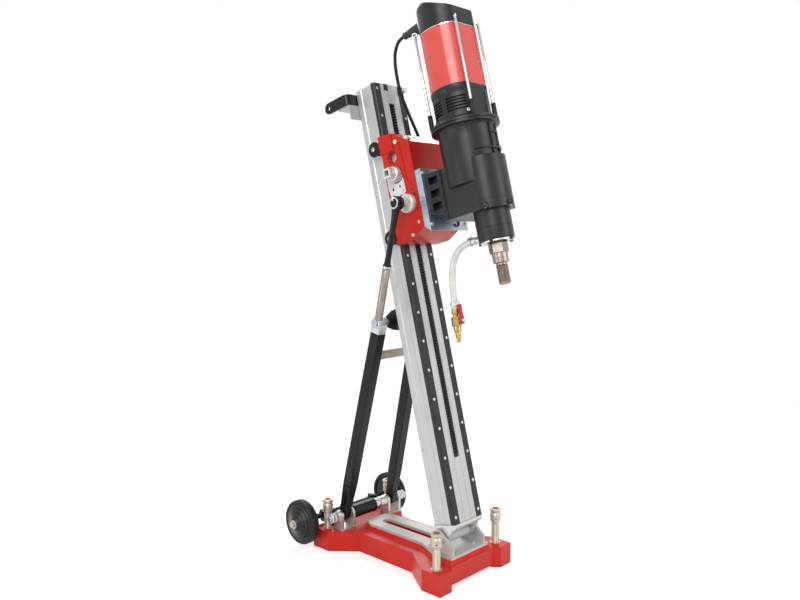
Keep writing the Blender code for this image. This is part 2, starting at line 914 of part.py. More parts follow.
def make_braces(frame):
    half = BRACE_TUBE / 2
    foot = 0.024
    neck = 0.095
    head = BRACE_LENGTH - 0.030
    for name, side in (("left", -1), ("right", 1)):
        foot_x, neck_x, high_x = (side * brace_centre_x(at) for at in (foot, neck, head))
        body = loft(square_about(neck_x, half), neck, square_about(high_x, half), head)
        taper = loft(
            square_about(foot_x, half - 0.003),
            foot,
            square_about(neck_x, half - 0.0004),
            neck + 0.002,
        )
        eye_outline = circle(0, 0, 0.016, 9, math.pi, math.pi)
        eye_outline += [(0.016, foot + 0.006), (-0.016, foot + 0.006)]
        x = side * BRACE_FOOT_X
        eye = prism(eye_outline, x - 0.010, x + 0.010, "X")
        hole = cylinder(PIVOT_RADIUS + GAP, -0.2, 0.2, (0, 0, 0), (1, 0, 0), SMALL)
        build(
            f"brace_tube_{name}",
            "black_paint",
            body,
            frame,
            origin=(x, 0, 0),
            add=[taper, eye],
            cut=[hole],
        )
        top_x = side * BRACE_TOP_X
        inner = top_x - side * (half - 0.0025)
        outer = top_x + side * half
        ends = sorted((inner, outer))
        knob = circle(0, BRACE_LENGTH, 0.018, 13, math.radians(-30), math.radians(240))
        lug = prism(knob + [(-0.0155, head + GAP), (0.0155, head + GAP)], ends[0], ends[1], "X")
        eyelet = cylinder(
            PIVOT_RADIUS + 0.001, -0.2, 0.2, (0, 0, BRACE_LENGTH), (1, 0, 0), SMALL
        )
        build(
            f"brace_head_{name}",
            "zinc",
            lug,
            frame,
            origin=(top_x, 0, BRACE_LENGTH),
            cut=[eyelet],
        )
    low, high = CROSS_PLATE_AT - 0.013, CROSS_PLATE_AT + 0.013
    low_half = brace_centre_x(low) - half - GAP * 2
    high_half = brace_centre_x(high) - half - GAP * 2
    outline = [(-low_half, low), (low_half, low), (high_half, high), (-high_half, high)]
    build(
        "brace_cross_plate",
        "zinc",
        prism(outline, -0.003, 0.003, "Y"),
        frame,
        origin=(0, 0, CROSS_PLATE_AT),
    )


# ---------------------------------------------------------------- carriage


def gear_layout():
    """Centres (f, s) and phases of the feed gears. Angles are in the (f, s) plane."""
    pitch = math.pi * MODULE
    pinion_r = PINION_TEETH * MODULE / 2
    idler_r = IDLER_TEETH * MODULE / 2
    drive_r = DRIVE_TEETH * MODULE / 2
    pinion = (pinion_r - MODULE, PINION_S)
    drive = (DRIVE_F, DRIVE_S)
    idler = meeting_point(pinion, pinion_r + idler_r + 0.0001, drive, idler_r + drive_r, -1)
    pinion_phase = math.pi + math.pi / PINION_TEETH
    to_idler = math.atan2(idler[1] - pinion[1], idler[0] - pinion[0])
    idler_phase = mating_phase(to_idler, pinion_phase, pinion_r, pitch, idler_r)
    to_drive = math.atan2(drive[1] - idler[1], drive[0] - idler[0])
    drive_phase = mating_phase(to_drive, idler_phase, idler_r, pitch, drive_r)
    return (pinion, pinion_phase), (idler, idler_phase), (drive, drive_phase)


def feed_gear(teeth, centre, phase, half_width):
    outline = moved(gear_outline(teeth, MODULE, phase), *centre)
    return prism(side_outline(outline), -half_width, half_width, "X")


def carriage_outline():
    return [
        (-0.002, CARRIAGE_BOTTOM),
        (0.048, CARRIAGE_BOTTOM),
        (CARRIAGE_FRONT, CARRIAGE_BOTTOM + 0.025),
        (CARRIAGE_FRONT, CARRIAGE_TOP - 0.043),
        (0.048, CARRIAGE_TOP - 0.005),
        (-0.002, CARRIAGE_TOP),
    ]


def make_carriage(frame):
    (pinion, _), (idler, _), (drive, _) = gear_layout()
    half = CARRIAGE_HALF
    inner = half - CHEEK
    cavity = [
        (-0.02, CARRIAGE_BOTTOM + 0.012),
        (0.046, CARRIAGE_BOTTOM + 0.012),
        (CARRIAGE_FRONT - 0.012, CARRIAGE_BOTTOM + 0.034),
        (CARRIAGE_FRONT - 0.012, CARRIAGE_TOP - 0.052),
        (0.046, CARRIAGE_TOP - 0.016),
        (-0.02, CARRIAGE_TOP - 0.012),
    ]
    ears = []
    pads = []
    bores = []
    roller_f = -RAIL_DEPTH - GAP - ROLLER_RADIUS
    axle_hole = 0.006
    for s in ROLLER_S:
        ear = circle(roller_f, s, 0.014, 9, math.radians(90), math.pi)
        ear += [(0.004, s - 0.014), (0.004, s + 0.014)]
        for side in (-1, 1):
            ends = sorted((side * inner, side * (inner + 0.008)))
            ears.append(prism(side_outline(ear), ends[0], ends[1], "X"))
        bores.append(cylinder(axle_hole, -0.1, 0.1, column_point(0, roller_f, s), (1, 0, 0), SMALL))
    block = [(-0.003, 0.996), (0.044, 0.996), (0.044, 1.0415), (-0.003, CARRIAGE_TOP + 0.0005)]
    for side in (-1, 1):
        ends = sorted((side * (half - 0.004), side * (half + 0.003)))
        pads.append(prism(side_outline(block), ends[0], ends[1], "X"))
    rear_clear = column_box(-inner, inner, -0.02, 0.004, CARRIAGE_BOTTOM - 0.01, CARRIAGE_TOP + 0.01)
    for f, s in (pinion, drive):
        bores.append(
            cylinder(SHAFT_RADIUS + GAP, -0.1, 0.1, column_point(0, f, s), (1, 0, 0), ROUND)
        )
    bores.append(cylinder(0.0063, -0.1, 0.1, column_point(0, *idler), (1, 0, 0), SMALL))
    window = cylinder(0.0165, -0.09, -inner + 0.01, column_point(0, 0.0344, 0.9785), (1, 0, 0), ROUND)
    build(
        "carriage",
        "red_paint",
        prism(side_outline(carriage_outline()), -half, half, "X"),
        frame,
        origin=column_point(0, 0, PINION_S),
        add=[together(pads)],
        cut=[prism(side_outline(cavity), -inner, inner, "X"), rear_clear],
    )
    carriage = bpy.data.objects["carriage"]
    for index, bm in enumerate(ears):
        combine(carriage, bm, "UNION", index + 10, frame)
    combine(carriage, together(bores), "DIFFERENCE", 10, frame)
    combine(carriage, window, "DIFFERENCE", 11, frame)


def make_feed(frame):
    (pinion, pinion_phase), (idler, idler_phase), (drive, drive_phase) = gear_layout()
    width = GEAR_WIDTH / 2
    inner = CARRIAGE_HALF - CHEEK
    centre = column_point(0, *pinion)
    shaft = [
        (0.0145, -0.113),
        (0.0145, -0.092),
        (0.019, -0.090),
        (0.019, -CARRIAGE_HALF - GAP),
        (SHAFT_RADIUS, -CARRIAGE_HALF - GAP),
        (SHAFT_RADIUS, inner + 0.012),
    ]
    socket = cylinder(0.0090, -0.13, -0.101, centre, (1, 0, 0), 4, math.radians(45))
    build(
        "pinion_shaft",
        "steel",
        turned(shaft, centre, (1, 0, 0), ROUND),
        frame,
        origin=centre,
        add=[feed_gear(PINION_TEETH, pinion, pinion_phase, width)],
        cut=[socket],
    )
    centre = column_point(0, *idler)
    build(
        "idler_gear",
        "steel",
        feed_gear(IDLER_TEETH, idler, idler_phase, width),
        frame,
        origin=centre,
        add=[cylinder(0.006, -inner - 0.010, inner + 0.010, centre, (1, 0, 0), SMALL)],
    )
    centre = column_point(0, *drive)
    shaft = [
        (0.021, -0.096),
        (0.025, -0.093),
        (0.025, -CARRIAGE_HALF - GAP),
        (SHAFT_RADIUS, -CARRIAGE_HALF - GAP),
        (SHAFT_RADIUS, inner + 0.012),
    ]
    square = cylinder(
        DRIVE_SQUARE * math.sqrt(2), -0.128, -0.090, centre, (1, 0, 0), 4, math.radians(45)
    )
    build(
        "reduction_shaft",
        "steel",
        turned(shaft, centre, (1, 0, 0), ROUND),
        frame,
        origin=centre,
        add=[feed_gear(DRIVE_TEETH, drive, drive_phase, width), square],
    )


def make_rollers(frame):
    roller_f = -RAIL_DEPTH - GAP - ROLLER_RADIUS
    names = (("lower", ROLLER_S[0]), ("upper", ROLLER_S[1]))
    for height, s in names:
        for name, side in (("left", -1), ("right", 1)):
            centre = column_point(0, roller_f, s)
            profile = [
                (ROLLER_RADIUS - GAP, 0.0530),
                (ROLLER_RADIUS - GAP, 0.0590),
                (0.0057, 0.0590),
                (0.0057, 0.0703),
                (ROLLER_CAP_RADIUS, 0.0703),
                (ROLLER_CAP_RADIUS, 0.0740),
                (0.010, 0.0760),
            ]
            build(
                f"guide_roller_{height}_{name}",
                "black_paint",
                turned(profile, centre, (side, 0, 0), ROUND),
                frame,
                origin=centre + Vector((side * 0.056, 0, 0)),
            )


def make_crank(frame):
    (_, _), (_, _), (drive, _) = gear_layout()
    hub = column_point(CRANK_X, *drive)
    away = Vector((0, math.sin(CRANK_LEAN), -math.cos(CRANK_LEAN)))
    grip_start = 0.175
    bush = DRIVE_SQUARE * math.sqrt(2) + 0.0008
    hole = cylinder(bush, -0.03, 0.03, hub, (1, 0, 0), SMALL)
    head = [(0.0155, -0.012), (0.018, -0.009), (0.018, 0.009), (0.0155, 0.012)]
    neck = [(0.0115, 0.010), (0.0085, 0.040), (0.0075, 0.110), (0.0085, grip_start - 0.012)]
    neck += [(0.0115, grip_start - 0.008), (0.0115, grip_start - GAP)]
    neck += [(0.0075, grip_start - GAP), (0.0075, grip_start + 0.060)]
    build(
        "ratchet_head",
        "black_paint",
        turned(head, hub, (1, 0, 0), ROUND),
        frame,
        origin=hub,
        add=[turned(neck, hub, away, SMALL)],
        cut=[hole],
    )
    grip = tube(0.0105, 0.0078, grip_start, CRANK_LENGTH, hub, away, SMALL)
    build("crank_tube", "steel", grip, frame, origin=hub + away * grip_start)


def make_carriage_trim(frame):
    slope = math.atan2(0.038, 0.053)
    normal = (0, -math.sin(slope), math.cos(slope))
    seat = column_point(-0.062, 0.083, 1.0158)
    vial = [(0.0095, 0.0004), (0.0105, 0.002), (0.0105, 0.006), (0.008, 0.009)]
    build("spirit_level", "level_green", turned(vial, seat, normal, SMALL), frame, origin=seat)
    low, high = CARRIAGE_BOTTOM + 0.010, 0.923
    front = CARRIAGE_FRONT + GAP
    outline = [
        (front, low + 0.015),
        (front + SPACER_DEPTH, low),
        (front + SPACER_DEPTH, high),
        (front, high),
    ]
    groove = column_box(-0.09, 0.09, front + SPACER_DEPTH - 0.002, front + 0.05, 0.842, 0.845)
    build(
        "spacer_plate",
        "zinc",
        prism(side_outline(outline), -SPACER_HALF, SPACER_HALF, "X"),
        frame,
        origin=column_point(0, front, low),
        cut=[groove],
    )


# ---------------------------------------------------------------- drill motor


def motor_gears():
    """Centres (x, f) and phases of the motor's gears, in plan."""
    pitch = math.pi * GEARBOX_MODULE
    radius = {n: n * GEARBOX_MODULE / 2 for n in (ARMATURE_PINION, COUNTER_WHEEL)}
    small = COUNTER_PINION * GEARBOX_MODULE / 2
    large = SPINDLE_WHEEL * GEARBOX_MODULE / 2
    motor = (0.0, MOTOR_F)
    spindle = (0.0, SPINDLE_F)
    first = radius[ARMATURE_PINION] + radius[COUNTER_WHEEL]
    counter = meeting_point(motor, first, spindle, small + large, -1)
    angle = math.atan2(counter[1] - motor[1], counter[0] - motor[0])
    wheel_phase = mating_phase(angle, 0.0, radius[ARMATURE_PINION], pitch, radius[COUNTER_WHEEL])
    back = math.atan2(spindle[1] - counter[1], spindle[0] - counter[0])
    spindle_phase = mating_phase(back, 0.0, small, pitch, large)
    return counter, wheel_phase, spindle_phase


def plan_gear(teeth, centre, phase, low, high):
    outline = moved(gear_outline(teeth, GEARBOX_MODULE, phase), *centre)
    return prism(plan_outline(outline), along(low), along(high))


def motor_axis(x=0.0, f=MOTOR_F):
    """Foot of an axis parallel to the column, so that heights along it are s."""
    return column_point(x, f, 0.0)


UP = (0, 0, 1)


def make_gearbox(frame):
    counter, _, _ = motor_gears()
    plane = (0, motor_axis().y, 0)
    spindle_plane = (0, motor_axis(0, SPINDLE_F).y, 0)
    counter_plane = (counter[0], motor_axis(0, counter[1]).y, 0)
    front = CARRIAGE_FRONT + GAP + SPACER_DEPTH + GAP
    cylinder_part = [
        (GEARBOX_RADIUS - 0.006, GEARBOX_FLOOR - 0.006),
        (GEARBOX_RADIUS, GEARBOX_FLOOR),
        (GEARBOX_RADIUS, 0.990),
        (GEARBOX_RADIUS + 0.0045, 0.993),
        (GEARBOX_RADIUS + 0.0045, GEARBOX_TOP),
    ]
    block_half = 0.060
    nose = circle(0.0, SPINDLE_F, block_half, 17, 0.0, math.pi)
    block = nose + [(-block_half, 0.160), (block_half, 0.160)]
    foot = [(-0.064, front), (0.064, front), (0.064, 0.172), (-0.064, 0.172)]
    cavity_radius = GEARBOX_RADIUS - 0.007
    slots = []
    for k in range(3):
        s = 0.806 + k * 0.034
        for side in (-1, 1):
            ends = sorted((side * 0.050, side * 0.08))
            slots.append(column_box(ends[0], ends[1], front + 0.012, 0.162, s, s + 0.019))
    build(
        "gearbox_housing",
        "motor_plastic",
        turned([(r, along(s)) for r, s in cylinder_part], plane, UP, FINE),
        frame,
        origin=column_point(0, MOTOR_F, GEARBOX_TOP),
        add=[
            prism(plan_outline(block), along(BLOCK_BOTTOM), along(GEARBOX_FLOOR + 0.055)),
            prism(plan_outline(foot), along(0.797), along(0.905)),
        ],
        cut=[
            cylinder(cavity_radius, along(GEARBOX_FLOOR), along(1.02), plane, UP, FINE),
            cylinder(0.0225, along(0.76), along(0.87), spindle_plane, UP, ROUND),
            cylinder(0.0083, along(0.835), along(0.86), counter_plane, UP, SMALL),
            together(slots),
        ],
    )


def make_spindle_parts(frame):
    foot = motor_axis(0, SPINDLE_F)
    plane = (0, foot.y, 0)
    housing = [
        (0.0225, along(HOUSING_BOTTOM)),
        (HOUSING_RADIUS - 0.003, along(HOUSING_BOTTOM)),
        (HOUSING_RADIUS, along(HOUSING_BOTTOM + 0.003)),
        (HOUSING_RADIUS, along(BLOCK_BOTTOM - GAP)),
        (0.0225, along(BLOCK_BOTTOM - GAP)),
    ]
    build(
        "spindle_housing",
        "motor_plastic",
        turned(housing, plane, UP, FINE, ring=True),
        frame,
        origin=column_point(0, SPINDLE_F, BLOCK_BOTTOM),
        cut=[cylinder(0.0073, 0.02, 0.06, column_point(0, SPINDLE_F, 0.712), (0, 1, 0), SMALL)],
    )
    _, _, spindle_phase = motor_gears()
    shaft = [
        (0.0135, along(SPINDLE_END)),
        (0.0159, along(SPINDLE_END + 0.003)),
        (0.0159, along(0.634)),
        (0.0135, along(0.636)),
        (0.0135, along(0.640)),
        (0.020, along(0.642)),
        (0.020, along(0.664)),
        (0.017, along(0.664)),
        (0.017, along(0.846)),
        (0.012, along(0.846)),
        (0.012, along(0.876)),
    ]
    hexagon = cylinder(0.0245, along(0.6637), along(HOUSING_BOTTOM - 0.002), plane, UP, 6)
    bore = cylinder(0.009, along(SPINDLE_END - 0.01), along(SPINDLE_END + 0.030), plane, UP, SMALL)
    build(
        "spindle",
        "nickel",
        turned(shaft, plane, UP, ROUND),
        frame,
        origin=column_point(0, SPINDLE_F, SPINDLE_END),
        add=[hexagon, plan_gear(SPINDLE_WHEEL, (0.0, SPINDLE_F), spindle_phase, 0.8545, 0.872)],
        cut=[bore],
    )


def make_counter_shaft(frame):
    counter, wheel_phase, _ = motor_gears()
    foot = motor_axis(*counter)
    shaft = [
        (0.008, along(0.836)),
        (0.008, along(0.852)),
        (0.009, along(0.852)),
        (0.009, along(0.900)),
        (0.006, along(0.904)),
    ]
    build(
        "counter_shaft",
        "steel",
        turned(shaft, (foot.x, foot.y, 0), UP, SMALL),
        frame,
        origin=column_point(counter[0], counter[1], 0.836),
        add=[
            plan_gear(COUNTER_PINION, counter, 0.0, 0.853, 0.876),
            plan_gear(COUNTER_WHEEL, counter, wheel_phase, 0.880, 0.894),
        ],
    )


def make_armature(frame):
    plane = (0, motor_axis().y, 0)
    shaft = [
        (0.0065, along(0.879)),
        (0.0065, along(1.000)),
        (0.008, along(1.001)),
        (0.008, along(1.022)),
        (0.048, along(1.024)),
        (0.048, along(1.036)),
        (0.016, along(1.040)),
        (0.016, along(1.110)),
        (ROTOR_RADIUS, along(1.113)),
        (ROTOR_RADIUS, along(1.205)),
        (0.022, along(1.212)),
        (0.022, along(1.250)),
        (0.008, along(1.252)),
        (0.008, along(1.285)),
    ]
    build(
        "armature",
        "copper",
        turned(shaft, plane, UP, ROUND),
        frame,
        origin=column_point(0, MOTOR_F, 0.879),
        add=[plan_gear(ARMATURE_PINION, (0.0, MOTOR_F), 0.0, 0.8795, 0.8950)],
    )
    stator = tube(STATOR_RADIUS, ROTOR_RADIUS + 0.0012, along(1.108), along(1.208), plane, UP, ROUND)
    build(
        "stator",
        "steel",
        stator,
        frame,
        origin=column_point(0, MOTOR_F, 1.108),
    )


def make_motor_shells(frame):
    plane = (0, motor_axis().y, 0)
    inside = SLEEVE_RADIUS - SLEEVE_WALL
    lower = [
        (0.0173, along(GEARBOX_TOP + GAP)),
        (0.0735, along(GEARBOX_TOP + GAP)),
        (0.0735, along(1.012)),
        (0.0700, along(1.016)),
        (0.0700, along(1.082)),
        (SLEEVE_RADIUS, along(1.085)),
        (SLEEVE_RADIUS, along(LOWER_TOP)),
        (inside, along(LOWER_TOP)),
        (0.0600, along(1.080)),
        (0.0600, along(1.019)),
        (0.0173, along(1.019)),
    ]
    vents = []
    count = 12
    for k in range(count):
        turn = Matrix.Rotation(math.tau * (k + 0.5) / count, 4, "Z")
        slot = box((0.052, -0.011, along(1.030)), (0.080, 0.011, along(1.066)))
        bmesh.ops.transform(slot, matrix=turn, verts=slot.verts)
        bmesh.ops.translate(slot, verts=slot.verts, vec=plane)
        vents.append(slot)
    build(
        "motor_lower_housing",
        "motor_plastic",
        turned(lower, plane, UP, FINE, ring=True),
        frame,
        origin=column_point(0, MOTOR_F, GEARBOX_TOP),
        cut=[together(vents)],
    )
    sleeve = tube(
        SLEEVE_RADIUS, inside, along(LOWER_TOP + GAP), along(SLEEVE_TOP), plane, UP, FINE
    )
    build(
        "motor_sleeve",
        "sleeve_red",
        sleeve,
        frame,
        origin=column_point(0, MOTOR_F, LOWER_TOP),
    )
    cap = [
        (SLEEVE_RADIUS - 0.0006, along(SLEEVE_TOP + GAP)),
        (SLEEVE_RADIUS - 0.0006, along(CAP_TOP - 0.024)),
        (SLEEVE_RADIUS - 0.016, along(CAP_TOP)),
    ]
    slope = [
        (0.180, CAP_TOP + 0.001),
        (0.330, 1.2795),
        (0.330, CAP_TOP + 0.02),
        (0.180, CAP_TOP + 0.02),
    ]
    facet = prism(side_outline(slope), -0.1, 0.1, "X")
    hollow = [
        (inside, along(SLEEVE_TOP - 0.01)),
        (inside, along(1.268)),
        (0.030, along(1.296)),
    ]
    build(
        "motor_cap",
        "motor_plastic",
        turned(cap, plane, UP, FINE),
        frame,
        origin=column_point(0, MOTOR_F, SLEEVE_TOP),
        cut=[turned(hollow, plane, UP, ROUND), facet],
    )


def make_guard_cage(frame):
    ring = tube(
        0.0885,
        GEARBOX_RADIUS + 0.0045 + GAP,
        along(0.9925),
        along(GEARBOX_TOP + 0.002),
        (0, motor_axis().y, 0),
        UP,
        FINE,
    )
    rods = []
    spots = [(-0.045, 0.299), (0.045, 0.299), (-0.058, 0.172), (0.058, 0.172)]
    for x, f in spots:
        foot = motor_axis(x, f)
        profile = [
            (0.0062, along(GEARBOX_TOP + 0.0006)),
            (0.0062, along(1.046)),
            (0.0036, along(1.048)),
            (0.0036, along(1.258)),
        ]
        rods.append(turned(profile, (foot.x, foot.y, 0), UP, 8))
    build(
        "guard_cage",
        "zinc",
        ring,
        frame,
        origin=column_point(0, MOTOR_F, 0.9925),
        add=[together(rods)],
    )


def make_selector(frame):
    seat = column_point(0.060 + GAP, 0.250, 0.791)
    knob = [(0.012, 0.0), (0.013, 0.003), (0.013, 0.009), (0.011, 0.012)]
    build(
        "gear_selector",
        "zinc",
        turned(knob, seat, (1, 0, 0), SMALL),
        frame,
        origin=seat,
        cut=[box((0.068, seat.y - 0.02, seat.z - 0.0015), (0.08, seat.y + 0.02, seat.z + 0.0015))],
    )


# ---------------------------------------------------------------- cord and water


def make_cord(frame):
    exit_f = MOTOR_F - SLEEVE_RADIUS - GAP
    seat = column_point(0, exit_f, 1.306)
    gland = [
        (0.013, 0.0002),
        (0.013, 0.012),
        (0.0105, 0.014),
        (0.0090, 0.030),
        (0.0075, 0.055),
        (0.0060, 0.070),
    ]
    build("cord_gland", "rubber", turned(gland, seat, (0, 1, 0), SMALL), frame, origin=seat)
    start = seat.copy()
    start.y += 0.0708
    coil_mid = COIL_X + COIL_TURNS * 2 * CORD_RADIUS / 2
    stops = [
        start,
        start + Vector((0, 0.008, 0)),
        column_point(0.001, 0.060, 1.298),
        column_point(0.003, 0.041, 1.272),
        column_point(0.008, 0.030, 1.230),
        column_point(0.019, 0.022, 1.180),
        column_point(0.038, 0.017, 1.133),
        column_point(0.062, 0.012, 1.086),
        column_point(0.081, 0.005, 1.056),
        column_point(0.091, -0.006, 1.028),
        column_point(COIL_X + 0.006, COIL_F - 0.014, COIL_S + COIL_RADIUS + 0.012),
    ]
    cord("power_cord", "rubber", smooth_path(stops, 3), CORD_RADIUS, 2, frame)
    width = COIL_TURNS * 2 * CORD_RADIUS
    hub = column_point(COIL_X, COIL_F, COIL_S)
    section = [
        (COIL_RADIUS - CORD_RADIUS, 0.001),
        (COIL_RADIUS - CORD_RADIUS * 0.5, 0.0),
        (COIL_RADIUS + CORD_RADIUS * 0.5, 0.0),
        (COIL_RADIUS + CORD_RADIUS, 0.001),
        (COIL_RADIUS + CORD_RADIUS, width - 0.001),
        (COIL_RADIUS + CORD_RADIUS * 0.5, width),
        (COIL_RADIUS - CORD_RADIUS * 0.5, width),
        (COIL_RADIUS - CORD_RADIUS, width - 0.001),
    ]
    build(
        "cord_coil",
        "rubber",
        turned(section, hub, (1, 0, 0), ROUND, ring=True),
        frame,
        origin=column_point(coil_mid, COIL_F, COIL_S),
    )
    plug_at = column_point(COIL_X + 0.002, COIL_F + 0.004, COIL_S - 0.012)
    plug = [(0.008, 0.0), (0.019, 0.004), (0.0195, 0.024), (0.014, 0.036), (0.008, 0.050)]
    pins = []
    for side in (-1, 1):
        pin_at = plug_at + Vector((0, side * 0.0095, 0))
        pins.append(cylinder(0.0024, -0.014, 0.004, pin_at, (1, 0, 0), 8))
    build(
        "mains_plug",
        "rubber",
        turned(plug, plug_at, (1, 0, 0), SMALL),
        frame,
        origin=plug_at,
        add=[together(pins)],
    )


def make_water(frame):
    seat = column_point(0, SPINDLE_F, 0.712)
    bore = 0.0073
    start = HOUSING_RADIUS - 0.006
    fitting = [
        (bore - GAP, start),
        (bore - GAP, HOUSING_RADIUS + GAP),
        (0.011, HOUSING_RADIUS + GAP),
        (0.011, HOUSING_RADIUS + 0.010),
        (0.0075, HOUSING_RADIUS + 0.012),
        (0.0075, HOUSING_RADIUS + 0.018),
        (0.010, HOUSING_RADIUS + 0.019),
        (0.010, HOUSING_RADIUS + 0.030),
    ]
    build("water_inlet", "zinc", turned(fitting, seat, (0, 1, 0), SMALL), frame, origin=seat)
    hose_start = seat.copy()
    hose_start.y += HOUSING_RADIUS + 0.030 + GAP
    stops = [
        hose_start,
        column_point(0, 0.165, 0.7105),
        column_point(0, 0.140, 0.702),
        column_point(0, 0.118, 0.683),
        column_point(0, 0.104, 0.655),
        column_point(0, 0.096, 0.620),
        column_point(0, 0.091, 0.585),
        column_point(0, 0.0885, 0.5555),
    ]
    cord("water_hose", "hose_clear", smooth_path(stops, 3), HOSE_RADIUS, 3, frame)
    end = stops[-1]
    down = (stops[-1] - stops[-2]).normalized()
    body = [
        (0.0100, GAP),
        (0.0105, 0.014),
        (0.0080, 0.016),
        (0.0080, 0.022),
        (0.0135, 0.024),
        (0.0135, 0.046),
        (0.0100, 0.050),
        (0.0100, 0.060),
        (0.0075, 0.063),
        (0.0055, 0.084),
        (0.0040, 0.090),
    ]
    middle = end + down * 0.035
    build(
        "valve_body",
        "brass",
        turned(body, end, down, SMALL),
        frame,
        origin=middle,
        add=[cylinder(0.005, 0.0, 0.0165, middle, (0, -1, 0), 12)],
    )
    stem = middle + Vector((0, -0.0168, 0))
    handle = mirrored([(0.007, -0.008), (0.008, 0.010), (0.006, 0.042)])
    lever = prism(moved(handle, stem.x, stem.z), stem.y - 0.004, stem.y, "Y")
    build("valve_lever", "valve_red", lever, frame, origin=stem)


def main():
    base = empty("base_frame", (0, BASE_CENTRE_Y, 0))
    make_base(base)
    make_deck(base)
    make_levelling_screws(base)
    inner, outer = make_rear_clevises(base)
    make_pivot_rod(base, inner, outer)
    make_axle(base)
    make_wheels(base)
    column = empty("column_axis", (0, 0, HINGE_Z), TILT)
    make_profile(column)
    make_foot(column)
    make_rails(column)
    make_rack(column)
    make_column_top(column)
    make_brace_bracket(column)
    brace = empty("brace_axis", (0, BASE_CENTRE_Y + PIVOT_Y, PIVOT_Z), -BRACE_LEAN)
    make_braces(brace)
    make_carriage(column)
    make_feed(column)
    make_rollers(column)
    make_crank(column)
    make_carriage_trim(column)
    make_gearbox(column)
    make_spindle_parts(column)
    make_counter_shaft(column)
    make_armature(column)
    make_motor_shells(column)
    make_guard_cage(column)
    make_selector(column)
    make_cord(column)
    make_water(column)


clear_scene()
looks = make_looks()
main()
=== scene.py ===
from math import acos, atan2, cos, hypot, pi, radians, sin, sqrt, tan, tau

import bmesh
import bpy
from mathutils import Matrix, Vector


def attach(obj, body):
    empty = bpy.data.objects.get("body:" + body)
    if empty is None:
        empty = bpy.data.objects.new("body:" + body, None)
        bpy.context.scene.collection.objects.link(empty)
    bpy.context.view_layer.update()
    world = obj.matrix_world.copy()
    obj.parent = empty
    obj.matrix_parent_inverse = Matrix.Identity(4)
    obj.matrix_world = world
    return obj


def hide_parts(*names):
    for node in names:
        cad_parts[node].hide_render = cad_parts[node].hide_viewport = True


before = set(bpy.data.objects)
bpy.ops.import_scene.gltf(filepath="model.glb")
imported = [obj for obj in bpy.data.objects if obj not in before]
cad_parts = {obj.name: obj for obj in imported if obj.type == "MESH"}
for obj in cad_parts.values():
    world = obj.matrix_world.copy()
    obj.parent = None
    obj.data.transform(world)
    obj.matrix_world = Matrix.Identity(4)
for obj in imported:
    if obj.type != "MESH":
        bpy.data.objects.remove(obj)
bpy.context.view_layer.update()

GAP = 0.0003
FINE = 96
ROUND = 64
SMALL = 40

# Camera, and where the floor starts to fade and ends
CAMERA_AT = (-1.6134, -1.3277, 0.9268)
CAMERA_LENS = 35.89
CAMERA_HEADING = radians(-46.38)
CAMERA_PITCH = radians(90 - 5.19)
FLOOR_CLEAR = 0.75
FLOOR_END = 1.9

# Stand, in the base's frame
TILT = radians(14.27)
HINGE_Z = 0.108
BASE_CENTRE_Y = 0.172
BASE_WIDTH = 0.2994
BASE_LENGTH = 0.488
PAD_TOP = 0.0565
CORNER_LENGTH = 0.0636
CORNER_WIDTH = 0.0456
END_RECESS = 0.015
WAIST_HALF = 0.0891
WAIST_FRONT = -0.0893
WAIST_REAR = 0.1124
PLATEAU_TOP = 0.0657
DECK_TOP = 0.074
SLOT_HALF = 0.014
SLOT_FRONT = -0.136
SLOT_REAR = 0.088
SCREW_X = 0.1243
SCREW_Y = 0.2091
SCREW_RADIUS = 0.011
SCREW_HEAD_RADIUS = 0.016
SCREW_HEAD = 0.036
SCREW_TOPS = {"front": 0.1525, "rear": 0.1414}
LUG_INNER = 0.06
LUG_THICKNESS = 0.008
PIN_RADIUS = 0.0097
AXLE_Y = 0.257
AXLE_Z = 0.0763
AXLE_RADIUS = 0.008
AXLE_ARM_X = 0.1
WHEEL_RADIUS = 0.0637
WHEEL_INNER = 0.169
TYRE_WIDTH = 0.025
TYRE_DEPTH = 0.011
PIVOT_Y = 0.169
PIVOT_Z = 0.098
PIVOT_RADIUS = 0.008
BRACE_FOOT_X = 0.095
BRACE_TOP_X = 0.0785
BRACE_TUBE = 0.031
BRACE_LENGTH = 0.5838
BRACE_LEAN = radians(12.92)
CROSS_PLATE_AT = 0.487
CLEVIS_INNER = BRACE_FOOT_X - BRACE_TUBE / 2 - 0.011
CLEVIS_OUTER = BRACE_FOOT_X + BRACE_TUBE / 2 + 0.011

# Column and what rides on it: x across, f forward of its front face, s up from its foot
FACE_TO_PIN = 0.0522
END_TO_PIN = 0.0347
COLUMN_LENGTH = 1.205
COLUMN_HALF = 0.052
COLUMN_DEPTH = 0.08
COLUMN_WALL = 0.005
RAIL_INNER = 0.035
RAIL_OUTER = 0.059
RAIL_DEPTH = 0.012
MODULE = 0.0025
PRESSURE_ANGLE = radians(20)
ADDENDUM = 0.9
DEDENDUM = 1.2
BACKLASH = 0.00045
PINION_TEETH = 32
DRIVE_TEETH = 14
RACK_HALF = 0.01
RACK_DEPTH = 0.016
RACK_START = 0.168
RACK_TEETH = 125
CARRIAGE_HALF = 0.076
CHEEK = 0.014
CARRIAGE_BOTTOM = 0.748
CARRIAGE_TOP = 1.046
CARRIAGE_FRONT = 0.101
PINION_S = 0.933
PINION_F = 0.0375
DRIVE_F = 0.0655
DRIVE_S = 0.845
IDLER_F = 0.0518
IDLER_S = 0.8772
SHAFT_RADIUS = 0.012
ROLLER_RADIUS = 0.016
ROLLER_S = {"lower": 0.773, "upper": 1.021}
ROLLER_CAP_RADIUS = 0.021
SPACER_DEPTH = 0.02
SPACER_HALF = 0.075
CRANK_X = -0.124
CRANK_LENGTH = 0.316
CRANK_LEAN = radians(26.7)
DRIVE_SQUARE = 0.00635
MOTOR_F = 0.2325
MOTOR_FLAT_F = 0.2905
